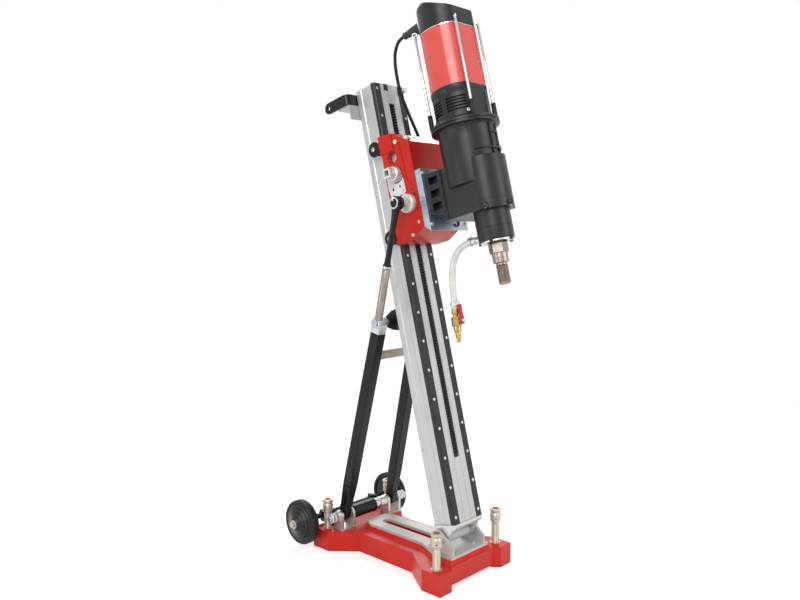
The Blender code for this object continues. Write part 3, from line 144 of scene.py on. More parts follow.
SPINDLE_F = 0.263
SPINDLE_END = 0.586
INLET_S = 0.712
GEARBOX_RADIUS = 0.0735
GEARBOX_TOP = 1.006
FLANGE = 0.0045
GEARBOX_FLOOR = 0.85
HOUSING_BOTTOM = 0.695
HOUSING_RADIUS = 0.046
BLOCK_BOTTOM = 0.772
LOWER_TOP = 1.096
SLEEVE_TOP = 1.25
CAP_TOP = 1.344
SLEEVE_RADIUS = 0.0718
STATOR_RADIUS = 0.064
CORD_RADIUS = 0.0045
COIL_RADIUS = 0.05
COIL_TURNS = 5
COIL_X = 0.09
COIL_S = 0.94
COIL_F = 0.012
HOSE_RADIUS = 0.0085

SIDES = (("left", -1), ("right", 1))
X_AXIS = (1, 0, 0)
AHEAD = (0, -1, 0)
BACK = (0, 1, 0)
UP = (0, 0, 1)
BASE = Matrix.Translation((0, BASE_CENTRE_Y, 0))
COLUMN = Matrix.Translation((0, 0, HINGE_Z)) @ Matrix.Rotation(-TILT, 4, "X")
BRACE = Matrix.Translation(
    (0, BASE_CENTRE_Y + PIVOT_Y, PIVOT_Z)
) @ Matrix.Rotation(BRACE_LEAN, 4, "X")


# ---------------------------------------------------------------- camera, floor and light


def make_camera():
    data = bpy.data.cameras.new("camera")
    data.sensor_width = 36.0
    data.lens = CAMERA_LENS
    data.clip_start = 0.05
    camera = bpy.data.objects.new("camera", data)
    camera.location = CAMERA_AT
    heading = Matrix.Rotation(CAMERA_HEADING, 4, "Z")
    turn = heading @ Matrix.Rotation(CAMERA_PITCH, 4, "X")
    camera.rotation_euler = turn.to_euler()
    bpy.context.scene.collection.objects.link(camera)
    bpy.context.scene.camera = camera


def area_light(name, at, towards, size, power, colour=(1, 1, 1)):
    data = bpy.data.lights.new(name, "AREA")
    data.shape = "RECTANGLE"
    data.size, data.size_y = size
    data.energy = power
    data.color = colour
    lamp = bpy.data.objects.new(name, data)
    lamp.location = at
    aim = Vector(towards) - Vector(at)
    lamp.rotation_euler = aim.to_track_quat("-Z", "Y").to_euler()
    bpy.context.scene.collection.objects.link(lamp)


def new_node(tree, kind, inputs=None, **settings):
    """A node whose inputs, by socket, hold a value or are linked to another node's output."""
    node = tree.nodes.new(kind)
    for key, value in settings.items():
        setattr(node, key, value)
    for socket, value in (inputs or {}).items():
        if isinstance(value, bpy.types.NodeSocket):
            tree.links.new(value, node.inputs[socket])
        else:
            node.inputs[socket].default_value = value
    return node


def seen_directly(tree):
    """1 for what the camera sees, also in a mirror or through glass, and 0 for plain lighting."""
    path = new_node(tree, "ShaderNodeLightPath").outputs
    seen = new_node(
        tree, "ShaderNodeMath", {0: path["Is Camera Ray"], 1: path["Is Glossy Ray"]},
        operation="MAXIMUM",
    )
    through = new_node(
        tree, "ShaderNodeMath", {0: seen.outputs[0], 1: path["Is Transmission Ray"]},
        operation="MAXIMUM",
    )
    return through.outputs[0]


def make_world():
    world = bpy.data.worlds.new("studio")
    world.use_nodes = True
    tree = world.node_tree
    tree.nodes.clear()
    soft = new_node(tree, "ShaderNodeBackground", {"Color": (1.0, 0.99, 0.975, 1), "Strength": 0.4})
    white = new_node(tree, "ShaderNodeBackground", {"Color": (1, 1, 1, 1), "Strength": 1.0})
    mix = new_node(
        tree, "ShaderNodeMixShader",
        {"Fac": seen_directly(tree), 1: soft.outputs[0], 2: white.outputs[0]},
    )
    new_node(tree, "ShaderNodeOutputWorld", {"Surface": mix.outputs[0]})
    bpy.context.scene.world = world


def make_floor():
    """Pale paper that fades out between FLOOR_CLEAR and FLOOR_END, so no horizon shows."""
    bm = bmesh.new()
    bmesh.ops.create_grid(bm, x_segments=2, y_segments=2, size=6.0)
    mesh = bpy.data.meshes.new("floor")
    bm.to_mesh(mesh)
    bm.free()
    floor = bpy.data.objects.new("floor", mesh)
    floor.location = (0, 0, -0.0005)
    bpy.context.scene.collection.objects.link(floor)
    look = bpy.data.materials.new("floor")
    look.use_nodes = True
    tree = look.node_tree
    paper = tree.nodes["Principled BSDF"]
    paper.inputs["Base Color"].default_value = (0.86, 0.86, 0.86, 1)
    paper.inputs["Roughness"].default_value = 0.9
    glow = new_node(tree, "ShaderNodeEmission", {"Strength": 0.42})
    both = new_node(tree, "ShaderNodeAddShader", {0: paper.outputs[0], 1: glow.outputs[0]})
    mix = new_node(
        tree, "ShaderNodeMixShader",
        {"Fac": seen_directly(tree), 1: paper.outputs[0], 2: both.outputs[0]},
    )
    place = new_node(tree, "ShaderNodeTexCoord")
    distance = new_node(
        tree, "ShaderNodeVectorMath", {0: place.outputs["Object"]}, operation="LENGTH"
    )
    fade = new_node(
        tree, "ShaderNodeMapRange",
        {"Value": distance.outputs["Value"], "From Min": FLOOR_CLEAR, "From Max": FLOOR_END},
        interpolation_type="SMOOTHSTEP",
    )
    clear = new_node(tree, "ShaderNodeBsdfTransparent")
    ends = new_node(
        tree, "ShaderNodeMixShader",
        {"Fac": fade.outputs["Result"], 1: mix.outputs[0], 2: clear.outputs[0]},
    )
    tree.links.new(ends.outputs[0], tree.nodes["Material Output"].inputs["Surface"])
    mesh.materials.append(look)


def make_lights():
    area_light("key", (-2.6, -1.2, 2.6), (0, 0.1, 0.7), (1.6, 2.0), 62)
    area_light("front", (0.9, -2.8, 1.7), (0, 0.1, 0.8), (1.4, 2.2), 34)
    area_light("rim", (1.8, 2.2, 2.4), (0, 0.1, 0.8), (1.6, 1.6), 40)
    area_light("low", (-2.4, 0.9, 0.5), (0, 0.2, 0.4), (1.0, 1.0), 10)
    bpy.context.scene.view_settings.view_transform = "Standard"


# ---------------------------------------------------------------- finishes

FINE_GRAIN = (1400, 1400, 1400)
GRAIN_ALONG = (900, 900, 9)
GRAIN_ACROSS = (1600, 40, 40)
WORN_GRAIN = (55, 55, 34)

# First and second tone, range of roughness, metallic, grain, bump, scale of the patches,
# colour of the worn marks and where they start, and the shader's other settings
FINISHES = {
    "red_paint": (
        (0.62, 0.015, 0.004), (0.52, 0.011, 0.003), (0.26, 0.42), 0.0, (420, 420, 420), 0.1, 9.0,
        (0.34, 0.05, 0.03), 0.67,
        {"Coat Weight": 0.05, "Coat Roughness": 0.08, "Specular IOR Level": 0.3},
    ),
    "deck_grey": (
        (0.56, 0.555, 0.54), (0.47, 0.465, 0.45), (0.44, 0.62), 0.25, (500, 60, 500), 0.1, 22.0,
        (0.36, 0.34, 0.31), 0.63, {},
    ),
    "zinc": (
        (0.46, 0.52, 0.6), (0.33, 0.39, 0.47), (0.26, 0.46), 0.9, (260, 260, 260), 0.08, 48.0,
        (0.3, 0.32, 0.34), 0.64, {},
    ),
    "bright_zinc": (
        (0.66, 0.66, 0.65), (0.56, 0.56, 0.55), (0.26, 0.44), 0.85, GRAIN_ALONG, 0.04, 30.0,
        (0.45, 0.44, 0.42), 0.68, {},
    ),
    "nickel": (
        (0.6, 0.53, 0.43), (0.5, 0.43, 0.34), (0.28, 0.46), 0.6, (60, 60, 1500), 0.08, 40.0,
        (0.3, 0.24, 0.18), 0.63, {},
    ),
    "spindle_metal": (
        (0.36, 0.3, 0.27), (0.26, 0.21, 0.18), (0.24, 0.42), 0.95, (60, 60, 1500), 0.08, 40.0,
        (0.2, 0.15, 0.12), 0.6, {},
    ),
    "steel": (
        (0.52, 0.5, 0.48), (0.4, 0.38, 0.36), (0.22, 0.42), 1.0, GRAIN_ACROSS, 0.06, 35.0,
        (0.25, 0.22, 0.19), 0.63, {},
    ),
    "crank_metal": (
        (0.36, 0.31, 0.26), (0.27, 0.23, 0.19), (0.3, 0.5), 0.8, GRAIN_ALONG, 0.06, 26.0,
        (0.16, 0.13, 0.1), 0.62, {},
    ),
    "pale_hub": (
        (0.78, 0.77, 0.75), (0.66, 0.65, 0.63), (0.3, 0.46), 0.35, GRAIN_ACROSS, 0.06, 40.0,
        (0.42, 0.4, 0.37), 0.66, {},
    ),
    "black_paint": (
        (0.004, 0.004, 0.005), (0.007, 0.007, 0.008), (0.2, 0.34), 0.0, (480, 480, 480), 0.08, 12.0,
        (0.035, 0.035, 0.035), 0.69, {"Specular IOR Level": 0.28},
    ),
    "rail_black": (
        (0.012, 0.0125, 0.014), (0.02, 0.021, 0.023), (0.3, 0.46), 0.3, GRAIN_ALONG, 0.1, 16.0,
        (0.085, 0.085, 0.088), 0.62, {},
    ),
    "rack_black": (
        (0.016, 0.016, 0.017), (0.028, 0.027, 0.026), (0.36, 0.58), 0.5, FINE_GRAIN, 0.12, 30.0,
        (0.12, 0.115, 0.11), 0.6, {},
    ),
    "anodised": (
        (0.56, 0.565, 0.58), (0.5, 0.5, 0.51), (0.3, 0.44), 0.5, (1300, 1300, 5), 0.07, 7.0,
        (0.52, 0.51, 0.49), 0.66, {},
    ),
    "rubber": (
        (0.006, 0.006, 0.006), (0.011, 0.011, 0.011), (0.42, 0.6), 0.0, FINE_GRAIN, 0.14, 24.0,
        (0.04, 0.038, 0.036), 0.66, {"Specular IOR Level": 0.3},
    ),
    "hub_plastic": (
        (0.005, 0.005, 0.005), (0.009, 0.009, 0.009), (0.2, 0.34), 0.0, FINE_GRAIN, 0.06, 30.0,
        (0.04, 0.04, 0.04), 0.68, {"Specular IOR Level": 0.34},
    ),
    "motor_plastic": (
        (0.01, 0.0105, 0.014), (0.017, 0.0175, 0.022), (0.3, 0.42), 0.0, (2100, 2100, 2100), 0.16,
        15.0, (0.045, 0.045, 0.05), 0.68, {"Specular IOR Level": 0.34},
    ),
    "relief_plastic": (
        (0.022, 0.022, 0.027), (0.016, 0.016, 0.02), (0.36, 0.52), 0.0, FINE_GRAIN, 0.12, 26.0,
        None, 0.62, {},
    ),
    "sleeve_red": (
        (0.78, 0.078, 0.06), (0.7, 0.062, 0.05), (0.22, 0.34), 0.0, (700, 700, 700), 0.05, 10.0,
        (0.7, 0.16, 0.13), 0.7, {"Coat Weight": 0.3, "Coat Roughness": 0.08},
    ),
    "chrome": (
        (0.62, 0.62, 0.63), (0.54, 0.54, 0.55), (0.06, 0.16), 1.0, FINE_GRAIN, 0.02, 60.0, None,
        0.62, {},
    ),
    "brass": (
        (0.52, 0.36, 0.14), (0.42, 0.28, 0.1), (0.2, 0.36), 1.0, (60, 60, 1500), 0.06, 60.0,
        (0.3, 0.19, 0.07), 0.64, {},
    ),
    "copper": (
        (0.5, 0.24, 0.12), (0.4, 0.18, 0.09), (0.28, 0.44), 0.9, FINE_GRAIN, 0.08, 60.0, None, 0.62,
        {},
    ),
    "hose_clear": (
        (0.8, 0.8, 0.77), (0.7, 0.71, 0.67), (0.22, 0.36), 0.0, (220, 220, 220), 0.05, 24.0, None,
        0.62, {"Subsurface Weight": 0.35, "Subsurface Scale": 0.006, "Coat Weight": 0.3},
    ),
    "valve_red": (
        (0.52, 0.02, 0.03), (0.42, 0.014, 0.022), (0.28, 0.42), 0.0, FINE_GRAIN, 0.06, 60.0,
        (0.6, 0.12, 0.12), 0.68, {},
    ),
    "level_green": (
        (0.72, 0.74, 0.1), (0.6, 0.64, 0.08), (0.08, 0.18), 0.0, FINE_GRAIN, 0.02, 80.0, None, 0.62,
        {"Coat Weight": 0.8},
    ),
    "mark_black": (
        (0.012, 0.012, 0.012), (0.02, 0.02, 0.02), (0.45, 0.6), 0.0, FINE_GRAIN, 0.05, 60.0, None,
        0.62, {},
    ),
    "mark_grey": (
        (0.36, 0.36, 0.37), (0.44, 0.44, 0.45), (0.45, 0.6), 0.0, FINE_GRAIN, 0.04, 60.0, None,
        0.62, {},
    ),
    "label_white": (
        (0.8, 0.8, 0.8), (0.72, 0.72, 0.71), (0.32, 0.46), 0.0, FINE_GRAIN, 0.04, 40.0,
        (0.55, 0.54, 0.52), 0.67, {},
    ),
}


def noise(tree, vector, scale, detail, roughness):
    node = new_node(
        tree, "ShaderNodeTexNoise",
        {"Vector": vector, "Scale": scale, "Detail": detail, "Roughness": roughness},
    )
    return node.outputs["Fac"]


def ramp(tree, value, stops):
    """A colour ramp over value; stops are its two (place, colour) ends."""
    node = new_node(tree, "ShaderNodeValToRGB", {"Fac": value})
    for element, (place, colour) in zip(node.color_ramp.elements, stops):
        element.position, element.color = place, (*colour, 1)
    return node.outputs["Color"]


def spread(tree, value, low, high, start=0.3, end=0.7):
    ends = {"From Min": start, "From Max": end, "To Min": low, "To Max": high}
    return new_node(tree, "ShaderNodeMapRange", {"Value": value, **ends}).outputs["Result"]


def blended(tree, factor, first, second):
    inputs = {0: factor, 6: first, 7: (*second, 1)}
    return new_node(tree, "ShaderNodeMix", inputs, data_type="RGBA", blend_type="MIX").outputs[2]


def stretched(tree, scale):
    place = new_node(tree, "ShaderNodeTexCoord").outputs["Object"]
    inputs = {"Vector": place, "Scale": scale}
    return new_node(tree, "ShaderNodeMapping", inputs).outputs["Vector"]


def finish(
    name, colour, other, roughness, metallic, grain, bump, patch, marks, marks_start, settings
):
    """Two tones in soft patches, fine grain in bump and roughness, and sparse worn marks."""
    look = bpy.data.materials.new(name)
    look.use_nodes = True
    tree = look.node_tree
    shader = tree.nodes["Principled BSDF"]
    plain = stretched(tree, (1, 1, 1))
    patches = noise(tree, plain, patch, 5.0, 0.6)
    tone = ramp(tree, patches, [(0.32, colour), (0.7, other)])
    grained = noise(tree, stretched(tree, grain), 1.0, 3.0, 0.6)
    tone = blended(tree, spread(tree, grained, 0.0, 0.35), tone, [c * 0.82 for c in colour])
    if marks:
        worn = noise(tree, stretched(tree, WORN_GRAIN), 1.0, 8.0, 0.72)
        share = spread(tree, worn, 0.0, 0.75, marks_start, marks_start + 0.05)
        tone = blended(tree, share, tone, marks)
    smears = noise(tree, plain, patch * 2.3, 6.0, 0.65)
    raised = new_node(
        tree, "ShaderNodeBump", {"Height": grained, "Strength": bump, "Distance": 0.0006}
    )
    tree.links.new(tone, shader.inputs["Base Color"])
    tree.links.new(spread(tree, smears, *roughness), shader.inputs["Roughness"])
    tree.links.new(raised.outputs["Normal"], shader.inputs["Normal"])
    for socket, value in {"Metallic": metallic, **settings}.items():
        shader.inputs[socket].default_value = value
    return look


LOOKS = {name: finish(name, *settings) for name, settings in FINISHES.items()}


# ---------------------------------------------------------------- shapes


def column_point(x, f, s):
    return Vector((x, -FACE_TO_PIN - f, END_TO_PIN + s))


def side_outline(points):
    """(f, s) points as (y, z) for a prism along x."""
    return [tuple(column_point(0.0, f, s))[1:] for f, s in points]


def plan_outline(points):
    """(x, f) points as (x, y) for a prism along the column."""
    return [tuple(column_point(x, f, 0.0))[:2] for x, f in points]


def along(s):
    return END_TO_PIN + s


def circle(cu, cv, radius, count, start=0.0, sweep=tau):
    """Points of a circle, or of an arc with both ends."""
    whole = abs(sweep - tau) < 1e-6
    steps = count if whole else count - 1
    found = []
    for i in range(count):
        angle = start + sweep * i / steps
        found.append((cu + radius * cos(angle), cv + radius * sin(angle)))
    return found


def mirrored(right_side):
    """A whole outline from the points of its right side, listed front to rear."""
    return right_side + [(-x, y) for x, y in reversed(right_side)]


def skinned(bm, rows, ring=False):
    """A solid around rows of vertices; its end rows are closed, or joined to each other by ring."""
    pairs = list(zip(rows, rows[1:]))
    if ring:
        pairs.append((rows[-1], rows[0]))
    else:
        bm.faces.new(rows[0])
        bm.faces.new(rows[-1])
    for lower, upper in pairs:
        for i in range(len(lower)):
            j = (i + 1) % len(lower)
            bm.faces.new((lower[i], lower[j], upper[j], upper[i]))
    bmesh.ops.recalc_face_normals(bm, faces=bm.faces)
    return bm


def loft(low, low_at, high, high_at, axis="Z"):
    """A solid between two outlines with equal point counts."""
    bm = bmesh.new()
    order = {"X": (2, 0, 1), "Y": (0, 2, 1), "Z": (0, 1, 2)}[axis]
    rows = []
    for outline, at in ((low, low_at), (high, high_at)):
        rows.append([bm.verts.new([(u, v, at)[k] for k in order]) for u, v in outline])
    return skinned(bm, rows)


def prism(outline, low, high, axis="Z"):
    low, high = sorted((low, high))
    return loft(outline, low, outline, high, axis)


def slab(outline, low, high):
    """A solid across the column from its (f, s) side outline."""
    return prism(side_outline(outline), low, high, "X")


def box(low, high):
    outline = [(low[0], low[1]), (high[0], low[1]), (high[0], high[1]), (low[0], high[1])]
    return prism(outline, low[2], high[2])


def column_box(x0, x1, f0, f1, s0, s1):
    a = column_point(x0, f1, s0)
    b = column_point(x1, f0, s1)
    return box(a, b)


def facing(axis):
    """The rotation that takes the z axis to this one."""
    return Vector(UP).rotation_difference(Vector(axis).normalized()).to_matrix()


def turned(profile, centre, axis, count=ROUND, ring=False, phase=0.0):
    """A lathed solid from (radius, height) pairs; ring joins its last pair to its first."""
    turn = facing(axis)
    bm = bmesh.new()
    rows = []
    for radius, height in profile:
        row = []
        for i in range(count):
            angle = phase + tau * i / count
            point = Vector((radius * cos(angle), radius * sin(angle), height))
            row.append(bm.verts.new(Vector(centre) + turn @ point))
        rows.append(row)
    return skinned(bm, rows, ring)


def upright(profile, x, f, count=ROUND, ring=False):
    """A lathed solid about a line parallel to the column, from (radius, s) pairs."""
    foot = column_point(x, f, 0)
    return turned([(r, along(s)) for r, s in profile], (foot.x, foot.y, 0), UP, count, ring)


def cylinder(radius, low, high, centre, axis, count=ROUND, phase=0.0):
    return turned([(radius, low), (radius, high)], centre, axis, count, phase=phase)


def square_bar(half, low, high, centre):
    """A square bar along x."""
    return cylinder(half * sqrt(2), low, high, centre, X_AXIS, 4, radians(45))


def tube(outer, inner, low, high, centre, axis, count=ROUND):
    profile = [(inner, low), (outer, low), (outer, high), (inner, high)]
    return turned(profile, centre, axis, count, ring=True)


def pour(part, whole):
    """Adds one mesh to another and frees it."""
    mesh = bpy.data.meshes.new("part")
    part.to_mesh(mesh)
    part.free()
    whole.from_mesh(mesh)
    bpy.data.meshes.remove(mesh)


def together(parts):
    """One mesh from several that don't touch each other."""
    whole = bmesh.new()
    for part in parts:
        pour(part, whole)
    return whole


def involute(radius, base):
    """Polar angle of the involute of a base circle at this radius."""
    if radius <= base:
        return 0.0
    ratio = base / radius
    return sqrt(1 / ratio**2 - 1) - acos(ratio)


def gear_outline(teeth, module, phase=0.0):
    """Spur gear with straight flanks that meet the 20 degree involute at root and tip.

    A tooth centre lies at angle phase.
    """
    pitch = teeth * module / 2
    base = pitch * cos(PRESSURE_ANGLE)
    tip = pitch + ADDENDUM * module
    root = pitch - DEDENDUM * module
    half = pi / (2 * teeth) - BACKLASH / (2 * pitch)
    outline = []
    for k in range(teeth):
        centre = phase + tau * k / teeth
        flank = []
        for radius in (root, tip):
            offset = half + involute(pitch, base) - involute(radius, base)
            flank.append((radius, max(offset, 0.004)))
        for radius, offset in flank:
            outline.append((radius * cos(centre - offset), radius * sin(centre - offset)))
        for radius, offset in reversed(flank):
            outline.append((radius * cos(centre + offset), radius * sin(centre + offset)))
    return outline


def moved(outline, du, dv):
    return [(u + du, v + dv) for u, v in outline]


def mating_phase(angle, phase, radius, pitch, other_radius):
    """Phase of a gear whose teeth fill the spaces of one at the given phase, along angle."""
    tooth = radius * (phase - angle)
    return angle + pi - (tooth + pitch / 2) / other_radius


def smooth_path(points, steps):
    """Catmull-Rom points through the given ones."""
    ends = [points[0] * 2 - points[1]] + list(points) + [points[-1] * 2 - points[-2]]
    found = []
    for i in range(1, len(ends) - 2):
        p0, p1, p2, p3 = ends[i - 1 : i + 3]
        for k in range(steps):
            t = k / steps
            found.append(
                0.5 * (
                    2 * p1 + (p2 - p0) * t + (
                        2 * p0 - 5 * p1 + 4 * p2 - p3
                    ) * t**2 + (3 * p1 - p0 - 3 * p2 + p3) * t**3
                )
            )
    found.append(points[-1])
    return found


def solid_of(bm):
    mesh = bpy.data.meshes.new("solid")
    bm.to_mesh(mesh)
    bm.free()
    item = bpy.data.objects.new("solid", mesh)
    bpy.context.scene.collection.objects.link(item)
    return item


def carved(body, add=(), cut=()):
    """body with every mesh in add joined to it and every mesh in cut taken away."""
    item = solid_of(body)
    helpers = []
    for kind, meshes in (("UNION", add), ("DIFFERENCE", cut)):
        for bm in meshes:
            helper = solid_of(bm)
            helpers.append(helper)
            modifier = item.modifiers.new(kind, "BOOLEAN")
            modifier.operation = kind
            modifier.solver = "EXACT"
            modifier.object = helper
    graph = bpy.context.evaluated_depsgraph_get()
    result = bmesh.new()
    result.from_mesh(item.evaluated_get(graph).to_mesh())
    for used in [item, *helpers]:
        mesh = used.data
        bpy.data.objects.remove(used)
        bpy.data.meshes.remove(mesh)
    return result


def piece(name, body, place, parts, stands_for=(), bevel=0.0006, segments=2, angle=32):
    """One visible piece drawn in the place frame and riding on a CAD body.

    Each of its parts pairs a finish with a mesh or a list of meshes.
    """
    whole = bmesh.new()
    used = []
    for look, meshes in parts:
        if look not in used:
            used.append(look)
        for bm in meshes if isinstance(meshes, list) else [meshes]:
            for face in bm.faces:
                face.material_index = used.index(look)
            pour(bm, whole)
    mesh = bpy.data.meshes.new(name)
    whole.to_mesh(mesh)
    whole.free()
    for look in used:
        mesh.materials.append(LOOKS[look])
    mesh.shade_smooth()
    mesh.set_sharp_from_angle(angle=radians(angle))
    item = bpy.data.objects.new(name, mesh)
    bpy.context.scene.collection.objects.link(item)
    item.matrix_world = place
    if bevel:
        modifier = item.modifiers.new("Bevel", "BEVEL")
        modifier.width = bevel
        modifier.segments = segments
        modifier.limit_method = "ANGLE"
        modifier.angle_limit = radians(angle)
        modifier.use_clamp_overlap = True
        modifier.harden_normals = True
        modifier.miter_outer = "MITER_ARC"
    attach(item, body)
    if stands_for:
        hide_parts(*stands_for)
    return item


def hex_head(radius, height, at, axis, phase=0.0):
    """A hexagon bolt head with its washer face and domed corners."""
    skirt = turned([(radius * 0.86, 0.0), (radius * 0.86, height * 0.12)], at, axis, SMALL)
    profile = [(radius, height * 0.1), (radius, height * 0.82), (radius * 0.84, height)]
    return together([skirt, turned(profile, at, axis, 6, phase=phase)])


def socket_head(radius, height, at, axis):
    """A cap screw: knurl-free head with a rim and a hexagon socket."""
    head = turned([(radius, 0), (radius, height * 0.85), (radius * 0.88, height)], at, axis, SMALL)
    socket = cylinder(radius * 0.52, height * 0.35, height + 0.01, at, axis, 6)
    return carved(head, cut=[socket])


def button_head(radius, height, at, axis):
    profile = []
    for k in range(7):
        angle = pi / 2 * k / 6
        profile.append((max(radius * cos(angle), radius * 0.05), height * sin(angle)))
    return turned([(radius, -height * 0.3)] + profile, at, axis, 20)


def thread(radius, depth, pitch, low, high, centre, axis, count=SMALL, steps=4):
    """A screw thread as a solid whose surface follows one helix; its ends fade to the core."""
    turn = facing(axis)
    last = max(int((high - low) / pitch * steps * 2), 4)
    bm = bmesh.new()
    rows = []
    for r in range(last + 1):
        height = low + (high - low) * r / last
        row = []
        for i in range(count):
            angle = tau * i / count
            wave = (height / pitch - i / count) % 1.0
            peak = 1 - abs(2 * wave - 1)
            fade = min(1.0, r / steps, (last - r) / steps)
            reach = radius - depth * (1 - peak * fade)
            spot = Vector((reach * cos(angle), reach * sin(angle), height))
            row.append(bm.verts.new(Vector(centre) + turn @ spot))
        rows.append(row)
    return skinned(bm, rows)


def swept(points, radii, count=20):
    """A round solid whose radius changes along a path."""
    bm = bmesh.new()
    rows = []
    side = Vector(X_AXIS)
    for i, point in enumerate(points):
        ahead = points[min(i + 1, len(points) - 1)] - points[max(i - 1, 0)]
        ahead.normalize()
        side = (side - ahead * side.dot(ahead)).normalized()
        over = ahead.cross(side)
        row = []
        for k in range(count):
            angle = tau * k / count
            around = side * cos(angle) + over * sin(angle)
            row.append(bm.verts.new(point + around * radii[i]))
        rows.append(row)
    return skinned(bm, rows)


def line_curve(name, body, place, points, radius, look, stands_for=()):
    """A round tube along points, as one open smooth spline."""
    curve = bpy.data.curves.new(name, "CURVE")
    curve.dimensions = "3D"
    curve.bevel_depth = radius
    curve.bevel_resolution = 6
    curve.use_fill_caps = True
    line = curve.splines.new("POLY")
    line.points.add(len(points) - 1)
    for point, spot in zip(line.points, points):
        point.co = (*spot, 1.0)
    line.use_smooth = True
    curve.materials.append(LOOKS[look])
    item = bpy.data.objects.new(name, curve)
    bpy.context.scene.collection.objects.link(item)
    item.matrix_world = place
    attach(item, body)
    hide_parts(*stands_for)
    return item


# ---------------------------------------------------------------- cord and hose


COIL_START = radians(21.6)
COIL_TAIL_TURN = 0.782
COIL_TAIL_IN = 0.014


def coil_point(turn, reach):
    """A point of the coil after some turns; each turn lies beside the one before."""
    angle = COIL_START - tau * turn
    across = CORD_RADIUS + (2 * CORD_RADIUS + 0.0001) * turn
    hub = column_point(COIL_X, COIL_F, COIL_S)
    return hub + Vector((across, reach * cos(angle), reach * sin(angle)))


def make_cord():
    seat = column_point(0, MOTOR_F - SLEEVE_RADIUS - GAP, 1.306)
    start = seat + Vector((0, 0.0708, 0))
    lead = smooth_path(
        [
            start, start + Vector((0, 0.008, 0)), column_point(0.001, 0.06, 1.298),
            column_point(0.003, 0.041, 1.272), column_point(0.008, 0.03, 1.23),
            column_point(0.019, 0.022, 1.18), column_point(0.038, 0.017, 1.133),
            column_point(0.062, 0.012, 1.086), column_point(0.081, 0.005, 1.056),
            column_point(0.091, -0.006, 1.028),
        ],
        3,
    )
    per_turn, inward_steps = 24, 18
    turns = COIL_TURNS - 1
    coil = [coil_point(i / per_turn, COIL_RADIUS) for i in range(turns * per_turn + 1)]
    inward = []
    for i in range(1, inward_steps + 1):
        share = i / inward_steps
        reach = COIL_RADIUS - COIL_TAIL_IN * share**2 * (3 - 2 * share)
        inward.append(coil_point(turns + COIL_TAIL_TURN * share, reach))
    points = lead + coil + inward
    cord = line_curve(
        "power_cord_lead", "carriage", COLUMN, points, CORD_RADIUS, "rubber",
        ("power_cord", "cord_coil"),
    )
    plug = make_plug(points[-1], (points[-1] - points[-2]).normalized())
    relief = make_strain_relief(seat)
    return relief


def make_plug(at, ahead):
    """An angled plug in the middle of the coil; its boot takes the cord's end in from the side."""
    centre = column_point(COIL_X + 0.002, COIL_F + 0.004, COIL_S - 0.012)
    hub = column_point(COIL_X, COIL_F, COIL_S)
    way = [
        at - ahead * 0.014, at, hub + Vector((0.046, 0.0055, 0.033)),
        hub + Vector((0.042, 0.0105, 0.024)), hub + Vector((0.04, 0.0085, 0.012)),
        hub + Vector((0.038, 0.002, 0.0)),
    ]
    boot_points = smooth_path(way, 6)
    last = len(boot_points) - 1
    boot = swept(boot_points, [0.006 + 0.0024 * i / last for i in range(last + 1)], 24)
    body = [
        (0.006, 0.05), (0.011, 0.049), (0.015, 0.046), (0.017, 0.04), (0.019, 0.024),
        (0.0195, 0.018), (0.0195, 0.006), (0.0185, 0.002), (0.017, 0.0005), (0.008, 0.0005),
    ]
    ribs = [
        tube(0.0202, 0.018, 0.008 + 0.004 * k, 0.0095 + 0.004 * k, centre, X_AXIS) for k in range(3)
    ]
    pins = []
    for side in (-1, 1):
        pin_at = centre + Vector((0, side * 0.0095, 0))
        profile = [(0.001, -0.014), (0.0024, -0.012), (0.0024, 0.004)]
        pins.append(turned(profile, pin_at, X_AXIS, 24))
    return piece(
        "mains_plug_body", "carriage", COLUMN,
        [("rubber", [turned(body, centre, X_AXIS), boot, *ribs]), ("brass", pins)], ["mains_plug"],
        bevel=0.0004,
    )


def make_strain_relief(seat):
    """A flared sleeve with shallow rings that guards the cord where it leaves the cap."""
    count = 40
    points = []
    radii = []
    for i in range(count + 1):
        share = i / count
        points.append(seat + Vector((0, -0.01 + 0.0815 * share, 0)))
        taper = 0.0185 - 0.0105 * share**0.9
        ring = 0.0004 * (1 if share > 0.45 and (i // 2) % 2 else 0)
        radii.append(taper + ring)
    radii[-2] += 0.0012
    radii[-3] += 0.001
    collar = turned(
        [(0.0175, -0.004), (0.0185, -0.001), (0.0185, 0.003), (0.0165, 0.006)], seat, BACK
    )
    return piece(
        "cord_strain_relief", "carriage", COLUMN,
        [("relief_plastic", swept(points, radii, SMALL)), ("motor_plastic", collar)],
        ["cord_gland"], bevel=0,
    )


def hose_route():
    start = column_point(0, SPINDLE_F, INLET_S)
    start.y += HOUSING_RADIUS + 0.03 + GAP
    stops = [
        start, column_point(0, 0.165, 0.7105), column_point(0, 0.14, 0.702),
        column_point(0, 0.118, 0.683), column_point(0, 0.104, 0.655), column_point(0, 0.096, 0.62),
        column_point(0, 0.091, 0.585), column_point(0, 0.0885, 0.5555),
    ]
    return stops, smooth_path(stops, 3)


def make_hose():
    stops, points = hose_route()
    hose = line_curve(
        "water_hose_tube", "carriage", COLUMN, points, HOSE_RADIUS, "hose_clear", ("water_hose",)
    )
    body, lever = make_valve(stops)
    inlet = make_inlet()


